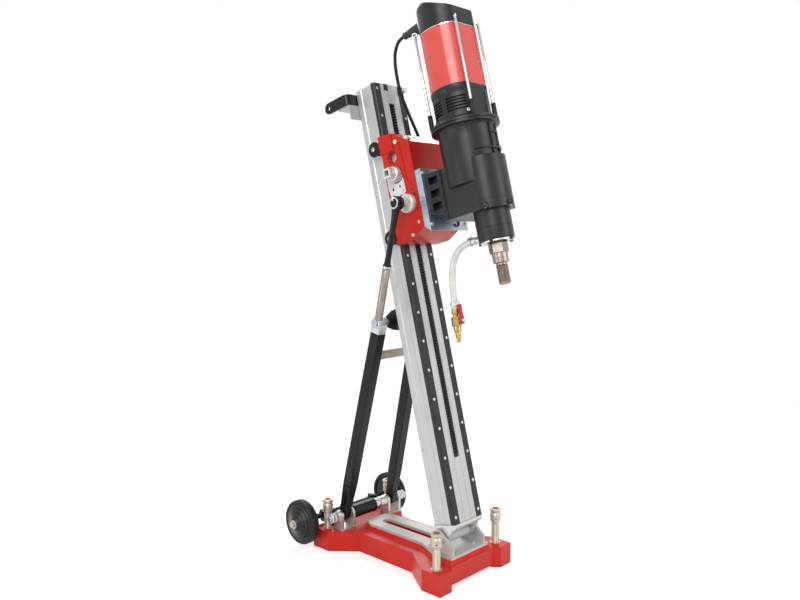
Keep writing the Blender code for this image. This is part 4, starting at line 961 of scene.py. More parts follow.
def make_valve(stops):
    end = stops[-1]
    down = (stops[-1] - stops[-2]).normalized()
    middle = end + down * 0.035
    clamp = tube(0.0112, 0.0088, -0.016, -0.006, end, down)
    screw = box(
        end + down * -0.014 + Vector((-0.003, -0.0145, -0.003)),
        end + down * -0.014 + Vector((0.003, -0.0105, 0.006)),
    )
    upper = [
        (0.0088, 0.0003), (0.01, 0.001), (0.0105, 0.006), (0.0105, 0.014), (0.008, 0.016),
        (0.008, 0.022),
    ]
    block = turned([(0.012, 0.022), (0.014, 0.024), (0.014, 0.046), (0.012, 0.048)], end, down, 6)
    lower = [
        (0.01, 0.047), (0.01, 0.06), (0.0078, 0.062), (0.007, 0.067), (0.0078, 0.069),
        (0.0066, 0.073), (0.0072, 0.075), (0.0058, 0.08), (0.0062, 0.082), (0.004, 0.09),
    ]
    stem = turned([(0.005, 0.0), (0.005, 0.0165)], middle, AHEAD, 24)
    body = piece(
        "water_valve_body", "carriage", COLUMN,
        [
            ("brass", [turned(upper, end, down), block, turned(lower, end, down), stem]),
            ("bright_zinc", [clamp, screw]),
        ],
        ["valve_body"], bevel=0.0004,
    )
    pivot = middle + Vector((0, -0.0168, 0))
    outline = [
        (-0.0055, -0.009), (0.0055, -0.009), (0.0085, -0.002), (0.0085, 0.008), (0.0062, 0.014),
        (0.0062, 0.034), (0.0075, 0.04), (0.0045, 0.0435), (-0.0045, 0.0435), (-0.0075, 0.04),
        (-0.0062, 0.034), (-0.0062, 0.014), (-0.0085, 0.008), (-0.0085, -0.002),
    ]
    blade = prism(moved(outline, pivot.x, pivot.z), pivot.y - 0.004, pivot.y, "Y")
    nut = hex_head(0.005, 0.0034, pivot + Vector((0, -0.004, 0)), AHEAD)
    lever = piece(
        "water_valve_lever", "valve_lever", COLUMN, [("valve_red", blade), ("bright_zinc", nut)],
        ["valve_lever"], bevel=0.0008,
    )
    return body, lever


def make_inlet():
    seat = column_point(0, SPINDLE_F, INLET_S)
    reach = HOUSING_RADIUS
    hexagon = turned(
        [
            (0.011, reach + GAP), (0.012, reach + 0.001), (0.012, reach + 0.009),
            (0.011, reach + 0.01),
        ],
        seat, BACK, 6,
    )
    neck = [
        (0.007, reach - 0.006), (0.007, reach + 0.012), (0.0075, reach + 0.018),
        (0.01, reach + 0.019), (0.0104, reach + 0.024), (0.01, reach + 0.03),
    ]
    clamp = tube(0.0114, 0.009, reach + 0.031, reach + 0.04, seat, BACK)
    ear = box(
        seat + Vector((-0.003, reach + 0.032, 0.0105)),
        seat + Vector((0.003, reach + 0.039, 0.0155)),
    )
    return piece(
        "water_inlet_fitting", "carriage", COLUMN,
        [("bright_zinc", [hexagon, turned(neck, seat, BACK), clamp, ear])], ["water_inlet"],
        bevel=0.0004,
    )


# ---------------------------------------------------------------- stand


def base_outline():
    half_w, half_l = BASE_WIDTH / 2, BASE_LENGTH / 2
    inner = half_w - CORNER_WIDTH
    shoulder = half_l - CORNER_LENGTH
    right = [
        (inner - END_RECESS, -half_l + END_RECESS), (inner, -half_l), (half_w, -half_l),
        (half_w, -shoulder), (WAIST_HALF, WAIST_FRONT), (WAIST_HALF, WAIST_REAR),
        (half_w, shoulder), (half_w, half_l), (inner, half_l),
        (inner - END_RECESS, half_l - END_RECESS),
    ]
    return mirrored(right)


def deck_outline(margin):
    front = -BASE_LENGTH / 2 + END_RECESS + 0.009
    right = [
        (0.076 + margin, front - margin * 0.5), (0.076 + margin, -0.15), (0.052 + margin, -0.095),
        (0.05 + margin, 0.108 + margin), (0.036 + margin, 0.136 + margin),
    ]
    return mirrored(right)


def slot_outline(half):
    rear = circle(0.0, SLOT_REAR, half, 25, 0.0, pi)
    front = circle(0.0, SLOT_FRONT, half, 25, pi, pi)
    return rear + front


def corners():
    for end, sign in (("front", -1), ("rear", 1)):
        for side, across in SIDES:
            yield f"{end}_{side}", across * SCREW_X, sign * SCREW_Y, SCREW_TOPS[end]


def make_base():
    step = BASE_WIDTH / 2 - CORNER_WIDTH - END_RECESS
    half_l = BASE_LENGTH / 2
    under = 0.008
    holes = [
        cylinder(SCREW_RADIUS + GAP, -0.01, PAD_TOP + 0.01, (x, y, 0), UP)
        for _, x, y, _ in corners()
    ]
    notches = [
        box((-step, -half_l - 0.01, -0.01), (step, -half_l + 0.045, under)),
        box((-step, half_l - 0.045, -0.01), (step, half_l + 0.01, under)),
    ]
    slot = prism(slot_outline(SLOT_HALF + 0.003), -0.01, PLATEAU_TOP + 0.01)
    raised = loft(deck_outline(0.012), PAD_TOP - 0.004, deck_outline(0.002), PLATEAU_TOP)
    casting = carved(
        prism(base_outline(), 0.0, PAD_TOP), [raised], [slot, together(holes + notches)]
    )
    piece(
        "base_casting", "base", BASE, [("red_paint", casting)], ["base_plate"], bevel=0.0022,
        segments=3,
    )
    nuts = []
    for _, x, y, _ in corners():
        bush = tube(0.015, SCREW_RADIUS + GAP, PAD_TOP - 0.002, PAD_TOP + 0.0012, (x, y, 0), UP)
        nuts.append(bush)
    piece("base_thread_bushes", "base", BASE, [("nickel", nuts)], bevel=0.0003)


def lug_outline():
    pin_y = -BASE_CENTRE_Y
    top = circle(pin_y + 0.01, HINGE_Z + 0.006, 0.018, 21, radians(140), radians(-140))
    return (
        [(pin_y - 0.044, DECK_TOP + 0.022)] + top + [
            (pin_y + 0.044, DECK_TOP - 0.003), (pin_y - 0.044, DECK_TOP - 0.003)
        ]
    )


def make_deck():
    pin = (0, -BASE_CENTRE_Y, HINGE_Z)
    lugs = []
    for side in (-1, 1):
        lugs.append(prism(lug_outline(), side * LUG_INNER, side * (LUG_INNER + LUG_THICKNESS), "X"))
    plate = carved(
        prism(deck_outline(0.0), PLATEAU_TOP + GAP, DECK_TOP), [together(lugs)],
        [
            prism(slot_outline(SLOT_HALF), PLATEAU_TOP - 0.01, DECK_TOP + 0.01),
            cylinder(PIN_RADIUS + GAP, -0.09, 0.09, pin, X_AXIS),
        ],
    )
    screws = []
    for x in (-0.044, 0.044):
        for y in (-0.195, -0.118):
            screws.append(socket_head(0.0058, 0.003, (x, y, DECK_TOP), UP))
    piece(
        "deck_plate", "base", BASE, [("deck_grey", plate), ("bright_zinc", screws)], ["base_deck"],
        bevel=0.0011, segments=3,
    )
    outer = LUG_INNER + LUG_THICKNESS + GAP
    shaft = cylinder(PIN_RADIUS, -outer, outer, pin, X_AXIS)
    heads = []
    for side in (-1, 1):
        at = Vector(pin) + Vector((side * outer, 0, 0))
        heads.append(turned([(0.0145, 0), (0.0145, 0.0012)], at, (side, 0, 0)))
        heads.append(hex_head(0.0142, 0.0058, at + Vector((side * 0.0002, 0, 0)), (side, 0, 0)))
    piece(
        "column_pin_bolt", "base", BASE, [("steel", shaft), ("bright_zinc", heads)],
        ["column_hinge_pin"], bevel=0.0005,
    )


def make_levelling_screws():
    for name, x, y, top in corners():
        neck = top - SCREW_HEAD
        at = (x, y, 0)
        point = [
            (0.004, 0.002), (SCREW_RADIUS * 0.8, 0.006), (SCREW_RADIUS * 0.92, 0.01),
            (SCREW_RADIUS * 0.92, 0.02),
        ]
        shank = thread(SCREW_RADIUS, 0.0011, 0.0025, 0.018, neck + 0.001, at, UP)
        head = [
            (0.0125, neck), (0.0142, neck + 0.0012), (0.0142, neck + 0.015), (0.015, neck + 0.0158),
            (0.015, neck + 0.0215), (0.0131, neck + 0.0245), (0.0131, neck + 0.027),
            (SCREW_HEAD_RADIUS, neck + 0.031), (SCREW_HEAD_RADIUS, top - 0.0008),
            (SCREW_HEAD_RADIUS - 0.0008, top),
        ]
        bored = carved(
            turned(head, at, UP),
            cut=[
                cylinder(0.0098, top - 0.018, top + 0.01, at, UP, 6),
                cylinder(0.0021, -0.03, 0.03, (x, y, neck + 0.009), (0.72, 0.69, 0), 24),
            ],
        )
        piece(
            f"levelling_screw_{name}_part", f"screw_{name}", BASE,
            [("nickel", [turned(point, at, UP), shank, bored])], [f"levelling_screw_{name}"],
            bevel=0.0003,
        )


def make_rear_clevises():
    plate, round_top = 0.008, 0.0175
    for name, side in SIDES:
        low, high = sorted((side * CLEVIS_INNER, side * CLEVIS_OUTER))
        top = circle(PIVOT_Y, PIVOT_Z, round_top, 29, pi, -pi)
        cheek = [(PIVOT_Y - round_top, PAD_TOP + GAP)] + top + [
            (PIVOT_Y + round_top, PAD_TOP + GAP)
        ]
        foot = box(
            (low, PIVOT_Y - 0.0205, PAD_TOP + GAP), (high, PIVOT_Y + 0.0205, PAD_TOP + 0.006)
        )
        hole = cylinder(PIVOT_RADIUS + GAP, -0.2, 0.2, (0, PIVOT_Y, PIVOT_Z), X_AXIS)
        block = carved(
            foot, [prism(cheek, low, low + plate, "X"), prism(cheek, high - plate, high, "X")],
            [hole],
        )
        piece(
            f"rear_clevis_{name}_lug", "base", BASE, [("bright_zinc", block)],
            [f"rear_clevis_{name}"], bevel=0.0013, segments=3,
        )


def make_pivot_rod():
    centre = Vector((0, PIVOT_Y, PIVOT_Z))
    collar = 0.02
    reach = CLEVIS_OUTER + GAP + 0.034
    rod = thread(PIVOT_RADIUS, 0.0006, 0.0018, -reach, reach, centre, X_AXIS)
    stacks = []
    for side in (-1, 1):
        at = centre + Vector((side * (CLEVIS_OUTER + GAP), 0, 0))
        out = (side, 0, 0)
        stacks.append(turned([(0.016, 0), (0.016, 0.0028)], at, out))
        stacks.append(turned([(0.013, 0.0029), (0.013, 0.0058)], at, out))
        stacks.append(
            turned(
                [(0.0135, 0.006), (0.0152, 0.0072), (0.0152, 0.0148), (0.0135, 0.016)], at, out, 6
            )
        )
        stacks.append(turned([(0.012, 0.0161), (0.012, 0.0188)], at, out))
        stacks.append(
            turned(
                [(0.0128, 0.019), (0.0146, 0.0202), (0.0146, 0.0268), (0.0125, 0.028)], at, out, 6
            )
        )
    adjuster = [
        (0.015, collar), (0.016, collar + 0.001), (0.016, collar + 0.012), (0.0125, collar + 0.014),
        (0.0125, collar + 0.02), (0.0165, collar + 0.022), (0.0165, CLEVIS_INNER - GAP - 0.001),
        (0.0155, CLEVIS_INNER - GAP),
    ]
    knob = carved(
        turned(adjuster, centre, X_AXIS),
        cut=[cylinder(0.003, 0.01, 0.03, centre + Vector((collar + 0.031, 0, 0)), (0, 0, 1), 24)],
    )
    piece(
        "brace_pivot_bolt", "base", BASE, [("zinc", rod), ("bright_zinc", [*stacks, knob])],
        ["brace_pivot_rod"], bevel=0.0004,
    )
    low, high = -CLEVIS_INNER + GAP, collar - GAP
    sleeve = tube(0.0195, PIVOT_RADIUS + GAP, low, high, centre, X_AXIS)
    rings = [
        tube(0.0205, 0.019, low + 0.0005, low + 0.006, centre, X_AXIS),
        tube(0.0205, 0.019, high - 0.006, high - 0.0005, centre, X_AXIS),
    ]
    piece(
        "rear_cross_sleeve", "base", BASE, [("black_paint", [sleeve, *rings])], ["rear_cross_tube"],
        bevel=0.0008,
    )


def make_axle():
    centre = Vector((0, AXLE_Y, AXLE_Z))
    outline = [
        (AXLE_Y - 0.058, PAD_TOP + GAP), (AXLE_Y + 0.006, PAD_TOP + GAP),
        (AXLE_Y + 0.015, AXLE_Z - 0.004), (AXLE_Y + 0.012, AXLE_Z + 0.013),
        (AXLE_Y - 0.012, AXLE_Z + 0.013), (AXLE_Y - 0.02, AXLE_Z - 0.006),
        (AXLE_Y - 0.036, PAD_TOP + 0.008), (AXLE_Y - 0.058, PAD_TOP + 0.008),
    ]
    parts = []
    bolts = []
    reach = WHEEL_INNER + TYRE_WIDTH + 0.01
    for side in (-1, 1):
        x = side * AXLE_ARM_X
        parts.append(prism(outline, x - 0.005, x + 0.005, "X"))
        parts.append(tube(0.0125, AXLE_RADIUS, -0.009, 0.009, centre + Vector((x, 0, 0)), X_AXIS))
        bolts.append(hex_head(0.0085, 0.0055, (x, AXLE_Y - 0.048, PAD_TOP + 0.0083), UP))
        at = centre + Vector((side * (WHEEL_INNER - 0.0095), 0, 0))
        parts.append(turned([(0.013, 0), (0.014, 0.001), (0.014, 0.0025)], at, (side, 0, 0)))
    parts.append(cylinder(AXLE_RADIUS, -reach, reach, centre, X_AXIS))
    piece(
        "wheel_axle_arms", "base", BASE, [("black_paint", parts), ("bright_zinc", bolts)],
        ["wheel_axle"], bevel=0.001,
    )


def make_wheels():
    rim = WHEEL_RADIUS - TYRE_DEPTH
    w = TYRE_WIDTH
    hub = [
        (0.016, -0.006), (0.016, 0.003), (0.02, 0.004), (rim - 0.002, 0.004), (rim, 0.006),
        (rim, w - 0.001), (rim - 0.002, w + 0.001), (0.046, w + 0.0025), (0.0452, w + 0.0012),
        (0.044, w + 0.0012), (0.0432, w + 0.0034), (0.034, w + 0.0074), (0.0334, w + 0.0068),
        (0.0326, w + 0.0068), (0.032, w + 0.0084), (0.0228, w + 0.0132), (0.018, w + 0.017),
        (0.013, w + 0.019), (0.009, w + 0.0196),
    ]
    tyre = [
        (rim + GAP, 0.001), (rim + 0.003, 0.0), (WHEEL_RADIUS - 0.0048, 0.0),
        (WHEEL_RADIUS - 0.002, 0.001), (WHEEL_RADIUS - 0.0006, 0.003), (WHEEL_RADIUS, 0.0055),
        (WHEEL_RADIUS, w * 0.5 - 0.001), (WHEEL_RADIUS - 0.001, w * 0.5 - 0.0006),
        (WHEEL_RADIUS - 0.001, w * 0.5 + 0.0006), (WHEEL_RADIUS, w * 0.5 + 0.001),
        (WHEEL_RADIUS, w - 0.0055), (WHEEL_RADIUS - 0.0006, w - 0.003),
        (WHEEL_RADIUS - 0.002, w - 0.001), (WHEEL_RADIUS - 0.0048, w), (rim + 0.003, w),
        (rim + 0.0022, w - 0.0012), (rim + GAP, w - 0.0012),
    ]
    for name, side in SIDES:
        centre = Vector((side * WHEEL_INNER, AXLE_Y, AXLE_Z))
        out = (side, 0, 0)
        washer = turned(
            [(0.0125, w + 0.018), (0.0125, w + 0.0205), (0.011, w + 0.021)], centre, out
        )
        nut = turned(
            [
                (0.0078, w + 0.0205), (0.0084, w + 0.0215), (0.0084, w + 0.0265),
                (0.0074, w + 0.0275),
            ],
            centre, out, 6,
        )
        end = turned([(0.005, w + 0.026), (0.005, w + 0.0292), (0.0042, w + 0.03)], centre, out)
        piece(
            f"wheel_{name}_hub", f"wheel_{name}", BASE,
            [("hub_plastic", turned(hub, centre, out, FINE)), ("nickel", [washer, nut, end])],
            [f"wheel_hub_{name}"], bevel=0, angle=40,
        )
        piece(
            f"wheel_{name}_tyre", f"wheel_{name}", BASE,
            [("rubber", turned(tyre, centre, out, FINE, ring=True))], [f"tyre_{name}"], bevel=0,
            angle=60,
        )


# ---------------------------------------------------------------- braces


def brace_centre_x(height):
    return BRACE_FOOT_X + (BRACE_TOP_X - BRACE_FOOT_X) * height / BRACE_LENGTH


def square_about(x, half):
    return [(x - half, -half), (x + half, -half), (x + half, half), (x - half, half)]


def make_braces():
    half = BRACE_TUBE / 2
    foot, neck, head = 0.024, 0.095, BRACE_LENGTH - 0.03
    for name, side in SIDES:
        foot_x, neck_x, high_x = (side * brace_centre_x(at) for at in (foot, neck, head))
        bar = loft(square_about(neck_x, half), neck, square_about(high_x, half), head)
        taper = loft(square_about(foot_x, half - 0.003), foot, square_about(neck_x, half), neck)
        x = side * BRACE_FOOT_X
        eye = circle(0, 0, 0.016, 29, pi, pi) + [(0.016, foot + 0.006), (-0.016, foot + 0.006)]
        hole = cylinder(PIVOT_RADIUS + GAP, -0.2, 0.2, (0, 0, 0), X_AXIS)
        foot_eye = carved(prism(eye, x - 0.01, x + 0.01, "X"), cut=[hole])
        piece(
            f"brace_{name}_bar", "brace", BRACE, [("black_paint", [bar, taper, foot_eye])],
            [f"brace_tube_{name}"], bevel=0.0028, segments=4,
        )
        top_x = side * BRACE_TOP_X
        knob = circle(0, BRACE_LENGTH, 0.018, 37, radians(-30), radians(240))
        lug = prism(
            knob + [(-0.0155, head + GAP), (0.0155, head + GAP)], top_x - side * (half - 0.0025),
            top_x + side * half, "X",
        )
        eyelet = cylinder(PIVOT_RADIUS + 0.001, -0.2, 0.2, (0, 0, BRACE_LENGTH), X_AXIS)
        face = Vector((top_x + side * half, 0, BRACE_LENGTH))
        washer = turned([(0.015, 0.0), (0.015, 0.0018), (0.014, 0.0024)], face, (side, 0, 0))
        nut = hex_head(0.0118, 0.0075, face + Vector((side * 0.0022, 0, 0)), (side, 0, 0))
        piece(
            f"brace_{name}_lug", "brace", BRACE,
            [("bright_zinc", [carved(lug, cut=[eyelet]), washer]), ("zinc", nut)],
            [f"brace_head_{name}"], bevel=0.002, segments=4,
        )
    low, high = CROSS_PLATE_AT - 0.013, CROSS_PLATE_AT + 0.013
    low_half = brace_centre_x(low) - half - GAP * 2
    high_half = brace_centre_x(high) - half - GAP * 2
    outline = [(-low_half, low), (low_half, low), (high_half, high), (-high_half, high)]
    piece(
        "brace_tie_plate", "brace", BRACE, [("crank_metal", prism(outline, -0.003, 0.003, "Y"))],
        ["brace_cross_plate"], bevel=0.0008,
    )


def brace_top_on_column():
    y = BASE_CENTRE_Y + PIVOT_Y - BRACE_LENGTH * sin(BRACE_LEAN)
    z = PIVOT_Z + BRACE_LENGTH * cos(BRACE_LEAN) - HINGE_Z
    forward = -y * cos(TILT) + z * sin(TILT)
    upward = y * sin(TILT) + z * cos(TILT)
    return forward - FACE_TO_PIN, upward - END_TO_PIN


def make_brace_bracket():
    back = -COLUMN_DEPTH - GAP
    rod_f, rod_s = brace_top_on_column()
    outline = [
        (back, rod_s - 0.03), (back, rod_s + 0.03), (back - 0.022, rod_s + 0.026),
        (rod_f - 0.01, rod_s + 0.013), (rod_f - 0.016, rod_s), (rod_f - 0.01, rod_s - 0.013),
        (back - 0.022, rod_s - 0.026),
    ]
    slot = column_box(-0.03, 0.03, rod_f - 0.03, back - 0.012, rod_s - 0.05, rod_s + 0.05)
    body = carved(slab(outline, -0.048, 0.048), cut=[slot])
    rod = cylinder(PIVOT_RADIUS, -0.052, 0.052, column_point(0, rod_f, rod_s), X_AXIS)
    bolt = hex_head(0.0085, 0.006, column_point(0, back - 0.012, rod_s), BACK)
    piece(
        "brace_bracket_body", "brace_bracket", COLUMN,
        [("black_paint", body), ("steel", rod), ("bright_zinc", bolt)], ["brace_bracket"],
        bevel=0.0014, segments=3,
    )


# ---------------------------------------------------------------- column


def make_profile():
    back = -COLUMN_DEPTH
    seat = -RAIL_DEPTH - GAP
    inset = RAIL_INNER - GAP
    right = [
        (0.0125, -0.001), (0.0128, -0.0022), (0.0142, -0.0022), (0.0145, -0.001), (0.0225, -0.001),
        (0.0228, -0.0016), (0.0234, -0.0016), (0.0237, -0.001), (inset, -0.001), (inset, seat),
        (COLUMN_HALF, seat), (COLUMN_HALF, -0.034), (COLUMN_HALF - 0.002, -0.037),
        (COLUMN_HALF - 0.002, -0.058), (COLUMN_HALF, -0.061), (COLUMN_HALF, back + 0.003),
        (COLUMN_HALF - 0.003, back), (0.016, back), (0.014, back + 0.002), (0.0, back + 0.002),
    ]
    left = [(-x, f) for x, f in reversed(right[:-1])]
    hollow_half = COLUMN_HALF - 0.002 - COLUMN_WALL
    hollow_front = -RACK_DEPTH - GAP - COLUMN_WALL
    hollow = column_box(
        -hollow_half, hollow_half, back + COLUMN_WALL, hollow_front, -0.01, COLUMN_LENGTH + 0.01
    )
    rack_top = RACK_START + RACK_TEETH * pi * MODULE
    pocket = column_box(
        -RACK_HALF - GAP, RACK_HALF + GAP, -RACK_DEPTH - GAP, 0.01, RACK_START - GAP, rack_top + GAP
    )
    body = prism(plan_outline(right + left), along(0.0), along(COLUMN_LENGTH))
    piece(
        "column_extrusion", "column", COLUMN, [("anodised", carved(body, cut=[hollow, pocket]))],
        ["column_profile"], bevel=0.0005,
    )


def make_foot():
    half = 0.057
    plate = [
        (0.001, -GAP), (0.001, -0.007), (-0.004, -0.013), (-COLUMN_DEPTH + 0.004, -0.013),
        (-COLUMN_DEPTH, -0.009), (-COLUMN_DEPTH, -GAP),
    ]
    ear = [(-0.01, -0.008), (-0.02, -0.022)]
    ear += circle(-FACE_TO_PIN, -END_TO_PIN, 0.018, 29, radians(-20), radians(-140))
    ear += [(-0.076, -0.008)]
    pin = (0, 0, 0)
    ears = together([slab(ear, -half, -half + 0.016), slab(ear, half - 0.016, half)])
    block = carved(
        slab(plate, -half, half), [ears], [cylinder(PIN_RADIUS + GAP, -0.09, 0.09, pin, X_AXIS)]
    )
    bolts = []
    for x in (-0.03, 0.03):
        for f in (-0.018, -0.066):
            bolts.append(hex_head(0.0065, 0.0045, column_point(x, f, -0.013), (0, 0, -1)))
    sleeve = tube(0.015, PIN_RADIUS + GAP, -half + 0.016, half - 0.016, pin, X_AXIS)
    piece(
        "column_foot_casting", "column", COLUMN,
        [("bright_zinc", [block, *bolts]), ("deck_grey", sleeve)], ["column_foot"], bevel=0.001,
    )


def make_rails():
    for name, side in SIDES:
        outline = [
            (side * RAIL_INNER, 0.0), (side * (RAIL_OUTER - 0.003), 0.0),
            (side * RAIL_OUTER, -0.003), (side * RAIL_OUTER, -RAIL_DEPTH),
            (side * RAIL_INNER, -RAIL_DEPTH),
        ]
        rail = prism(plan_outline(outline), along(0.0), along(COLUMN_LENGTH - 0.001))
        screws = []
        marks = []
        for k in range(16):
            at = column_point(side * 0.047, 0.0, 0.018 + 0.0781 * k)
            screws.append(button_head(0.0041, 0.0009, at, AHEAD))
            # A black hexagon on each button head is painted shade standing in for the dark hexagon
            # socket recess; no socket is cut
            marks.append(cylinder(0.0013, 0.0004, 0.00096, at, AHEAD, 6))
        piece(
            f"guide_rail_{name}_bar", "column", COLUMN,
            [("rail_black", rail), ("bright_zinc", screws), ("mark_black", marks)],
            [f"guide_rail_{name}"], bevel=0.0006,
        )


def make_rack():
    pitch = pi * MODULE
    first = RACK_START + (PINION_S - RACK_START) % pitch
    end = RACK_START + RACK_TEETH * pitch
    slope = tan(PRESSURE_ANGLE)
    half = pitch / 4 - BACKLASH / 2
    rise, depth, line = ADDENDUM * MODULE, DEDENDUM * MODULE, -MODULE
    outline = [(-RACK_DEPTH, RACK_START), (line - depth, RACK_START)]
    for k in range(RACK_TEETH):
        middle = first + k * pitch
        foot, tip = half + depth * slope, half - rise * slope
        if middle - foot < RACK_START + 0.0005 or middle + foot > end - 0.0005:
            continue
        outline += [
            (line - depth, middle - foot), (line + rise - 0.0002, middle - tip - 0.00008),
            (line + rise, middle - tip + 0.0002), (line + rise, middle + tip - 0.0002),
            (line + rise - 0.0002, middle + tip + 0.00008), (line - depth, middle + foot),
        ]
    outline += [(line - depth, end), (-RACK_DEPTH, end)]
    piece(
        "toothed_rack", "column", COLUMN, [("rack_black", slab(outline, -RACK_HALF, RACK_HALF))],
        ["gear_rack"], bevel=0, angle=20,
    )


def number_mesh(text, size, align):
    curve = bpy.data.curves.new("number", "FONT")
    curve.body = text
    curve.size = size
    curve.extrude = 0.00006
    curve.align_x = align
    item = bpy.data.objects.new("number", curve)
    bpy.context.scene.collection.objects.link(item)
    graph = bpy.context.evaluated_depsgraph_get()
    bm = bmesh.new()
    bm.from_mesh(item.evaluated_get(graph).to_mesh())
    bpy.data.objects.remove(item)
    bpy.data.curves.remove(curve)
    return bm


def make_scale():
    """Centimetre ticks and numbers along the rear edge of both sides."""
    for name, side in SIDES:
        face = side * COLUMN_HALF
        low, high = sorted((face, face + side * 0.00012))
        parts = []
        for k in range(2, 118):
            s = k * 0.01
            length = 0.0075 if k % 10 == 0 else 0.0055 if k % 5 == 0 else 0.0035
            f = -COLUMN_DEPTH + 0.0035
            parts.append(column_box(low, high, f, f + length, s - 0.0003, s + 0.0003))
        for k in range(10, 118, 10):
            bm = number_mesh(str(k), 0.006, "RIGHT" if side < 0 else "LEFT")
            turn = Matrix.Rotation(radians(90), 4, "X")
            outwards = Matrix.Rotation(radians(-90 if side < 0 else 90), 4, "Z")
            spot = column_point(face + side * 0.00006, -COLUMN_DEPTH + 0.0125, k * 0.01 - 0.0022)
            bmesh.ops.transform(
                bm, matrix=Matrix.Translation(spot) @ outwards @ turn, verts=bm.verts
            )
            parts.append(bm)
        piece(f"depth_scale_{name}", "column", COLUMN, [("mark_grey", parts)], bevel=0)


def make_column_top():
    back = -COLUMN_DEPTH - GAP
    shelf = [
        (back, 1.1665), (back, 1.126), (back - 0.004, 1.126), (back - 0.004, 1.148),
        (back - 0.046, 1.163), (back - 0.046, 1.1665),
    ]
    bolts = []
    for x in (-0.062, 0.062):
        bolts.append(hex_head(0.006, 0.004, column_point(x, back - 0.004, 1.136), BACK))
    piece(
        "handle_shelf", "column", COLUMN,
        [("deck_grey", slab(shelf, -0.085, 0.085)), ("bright_zinc", bolts)], ["handle_bracket"],
        bevel=0.0008,
    )
    thick, reach, half, bend = 0.006, 0.077, 0.091, 0.016
    low, high = 1.1668, 1.1978
    centre = (low + high) / 2
    outer = [(half, back - reach)] + circle(half - bend, back - bend, bend, 13, 0.0, pi / 2)
    inside = bend - thick
    inner = circle(
        half - bend, back - bend, inside, 13, pi / 2, -pi / 2
    ) + [(half - thick, back - reach)]
    ring = outer + [(-x, f) for x, f in reversed(outer)]
    body = prism(
        plan_outline(ring + [(-x, f) for x, f in reversed(inner)] + inner), along(low), along(high)
    )
    eye = column_point(0, back - reach, centre)
    eyes = []
    for side in (-1, 1):
        rounded = prism(
            circle(eye.y, eye.z, (high - low) / 2, SMALL), side * (half - thick), side * half, "X"
        )
        eyes.append(carved(rounded, cut=[cylinder(0.0058, -0.12, 0.12, eye, X_AXIS, SMALL)]))
    clear = cylinder((high - low) / 2 - 0.0002, -0.12, 0.12, eye, X_AXIS, SMALL)
    piece(
        "carry_handle", "column", COLUMN, [("black_paint", [carved(body, cut=[clear]), *eyes])],
        ["top_handle"], bevel=0.001, segments=3,
    )


def make_column_stop():
    """The end stop: a knob with two washers on the right rail, and a clip on the open end."""
    at = column_point(0.047, 0.0, 1.19)
    ahead = AHEAD
    washers = [
        turned([(0.0085, 0.0002), (0.0085, 0.0024)], at, ahead),
        turned([(0.007, 0.0036), (0.007, 0.0056)], at, ahead),
    ]
    knob = turned(
        [
            (0.0058, 0.0024), (0.0058, 0.01), (0.0078, 0.0112), (0.0085, 0.015), (0.007, 0.018),
            (0.003, 0.019),
        ],
        at, ahead,
    )
    clip = column_box(-0.02, -0.004, -0.0045, -0.0006, 1.186, 1.2052)
    piece(
        "column_end_stop", "column", COLUMN,
        [("rubber", washers), ("pale_hub", knob), ("mark_black", clip)], bevel=0.0005,
    )


# ---------------------------------------------------------------- carriage


def carriage_outline():
    return [
        (-0.002, CARRIAGE_BOTTOM), (0.048, CARRIAGE_BOTTOM),
        (CARRIAGE_FRONT, CARRIAGE_BOTTOM + 0.025), (CARRIAGE_FRONT, CARRIAGE_TOP - 0.043),
        (0.048, CARRIAGE_TOP - 0.005), (-0.002, CARRIAGE_TOP),
    ]


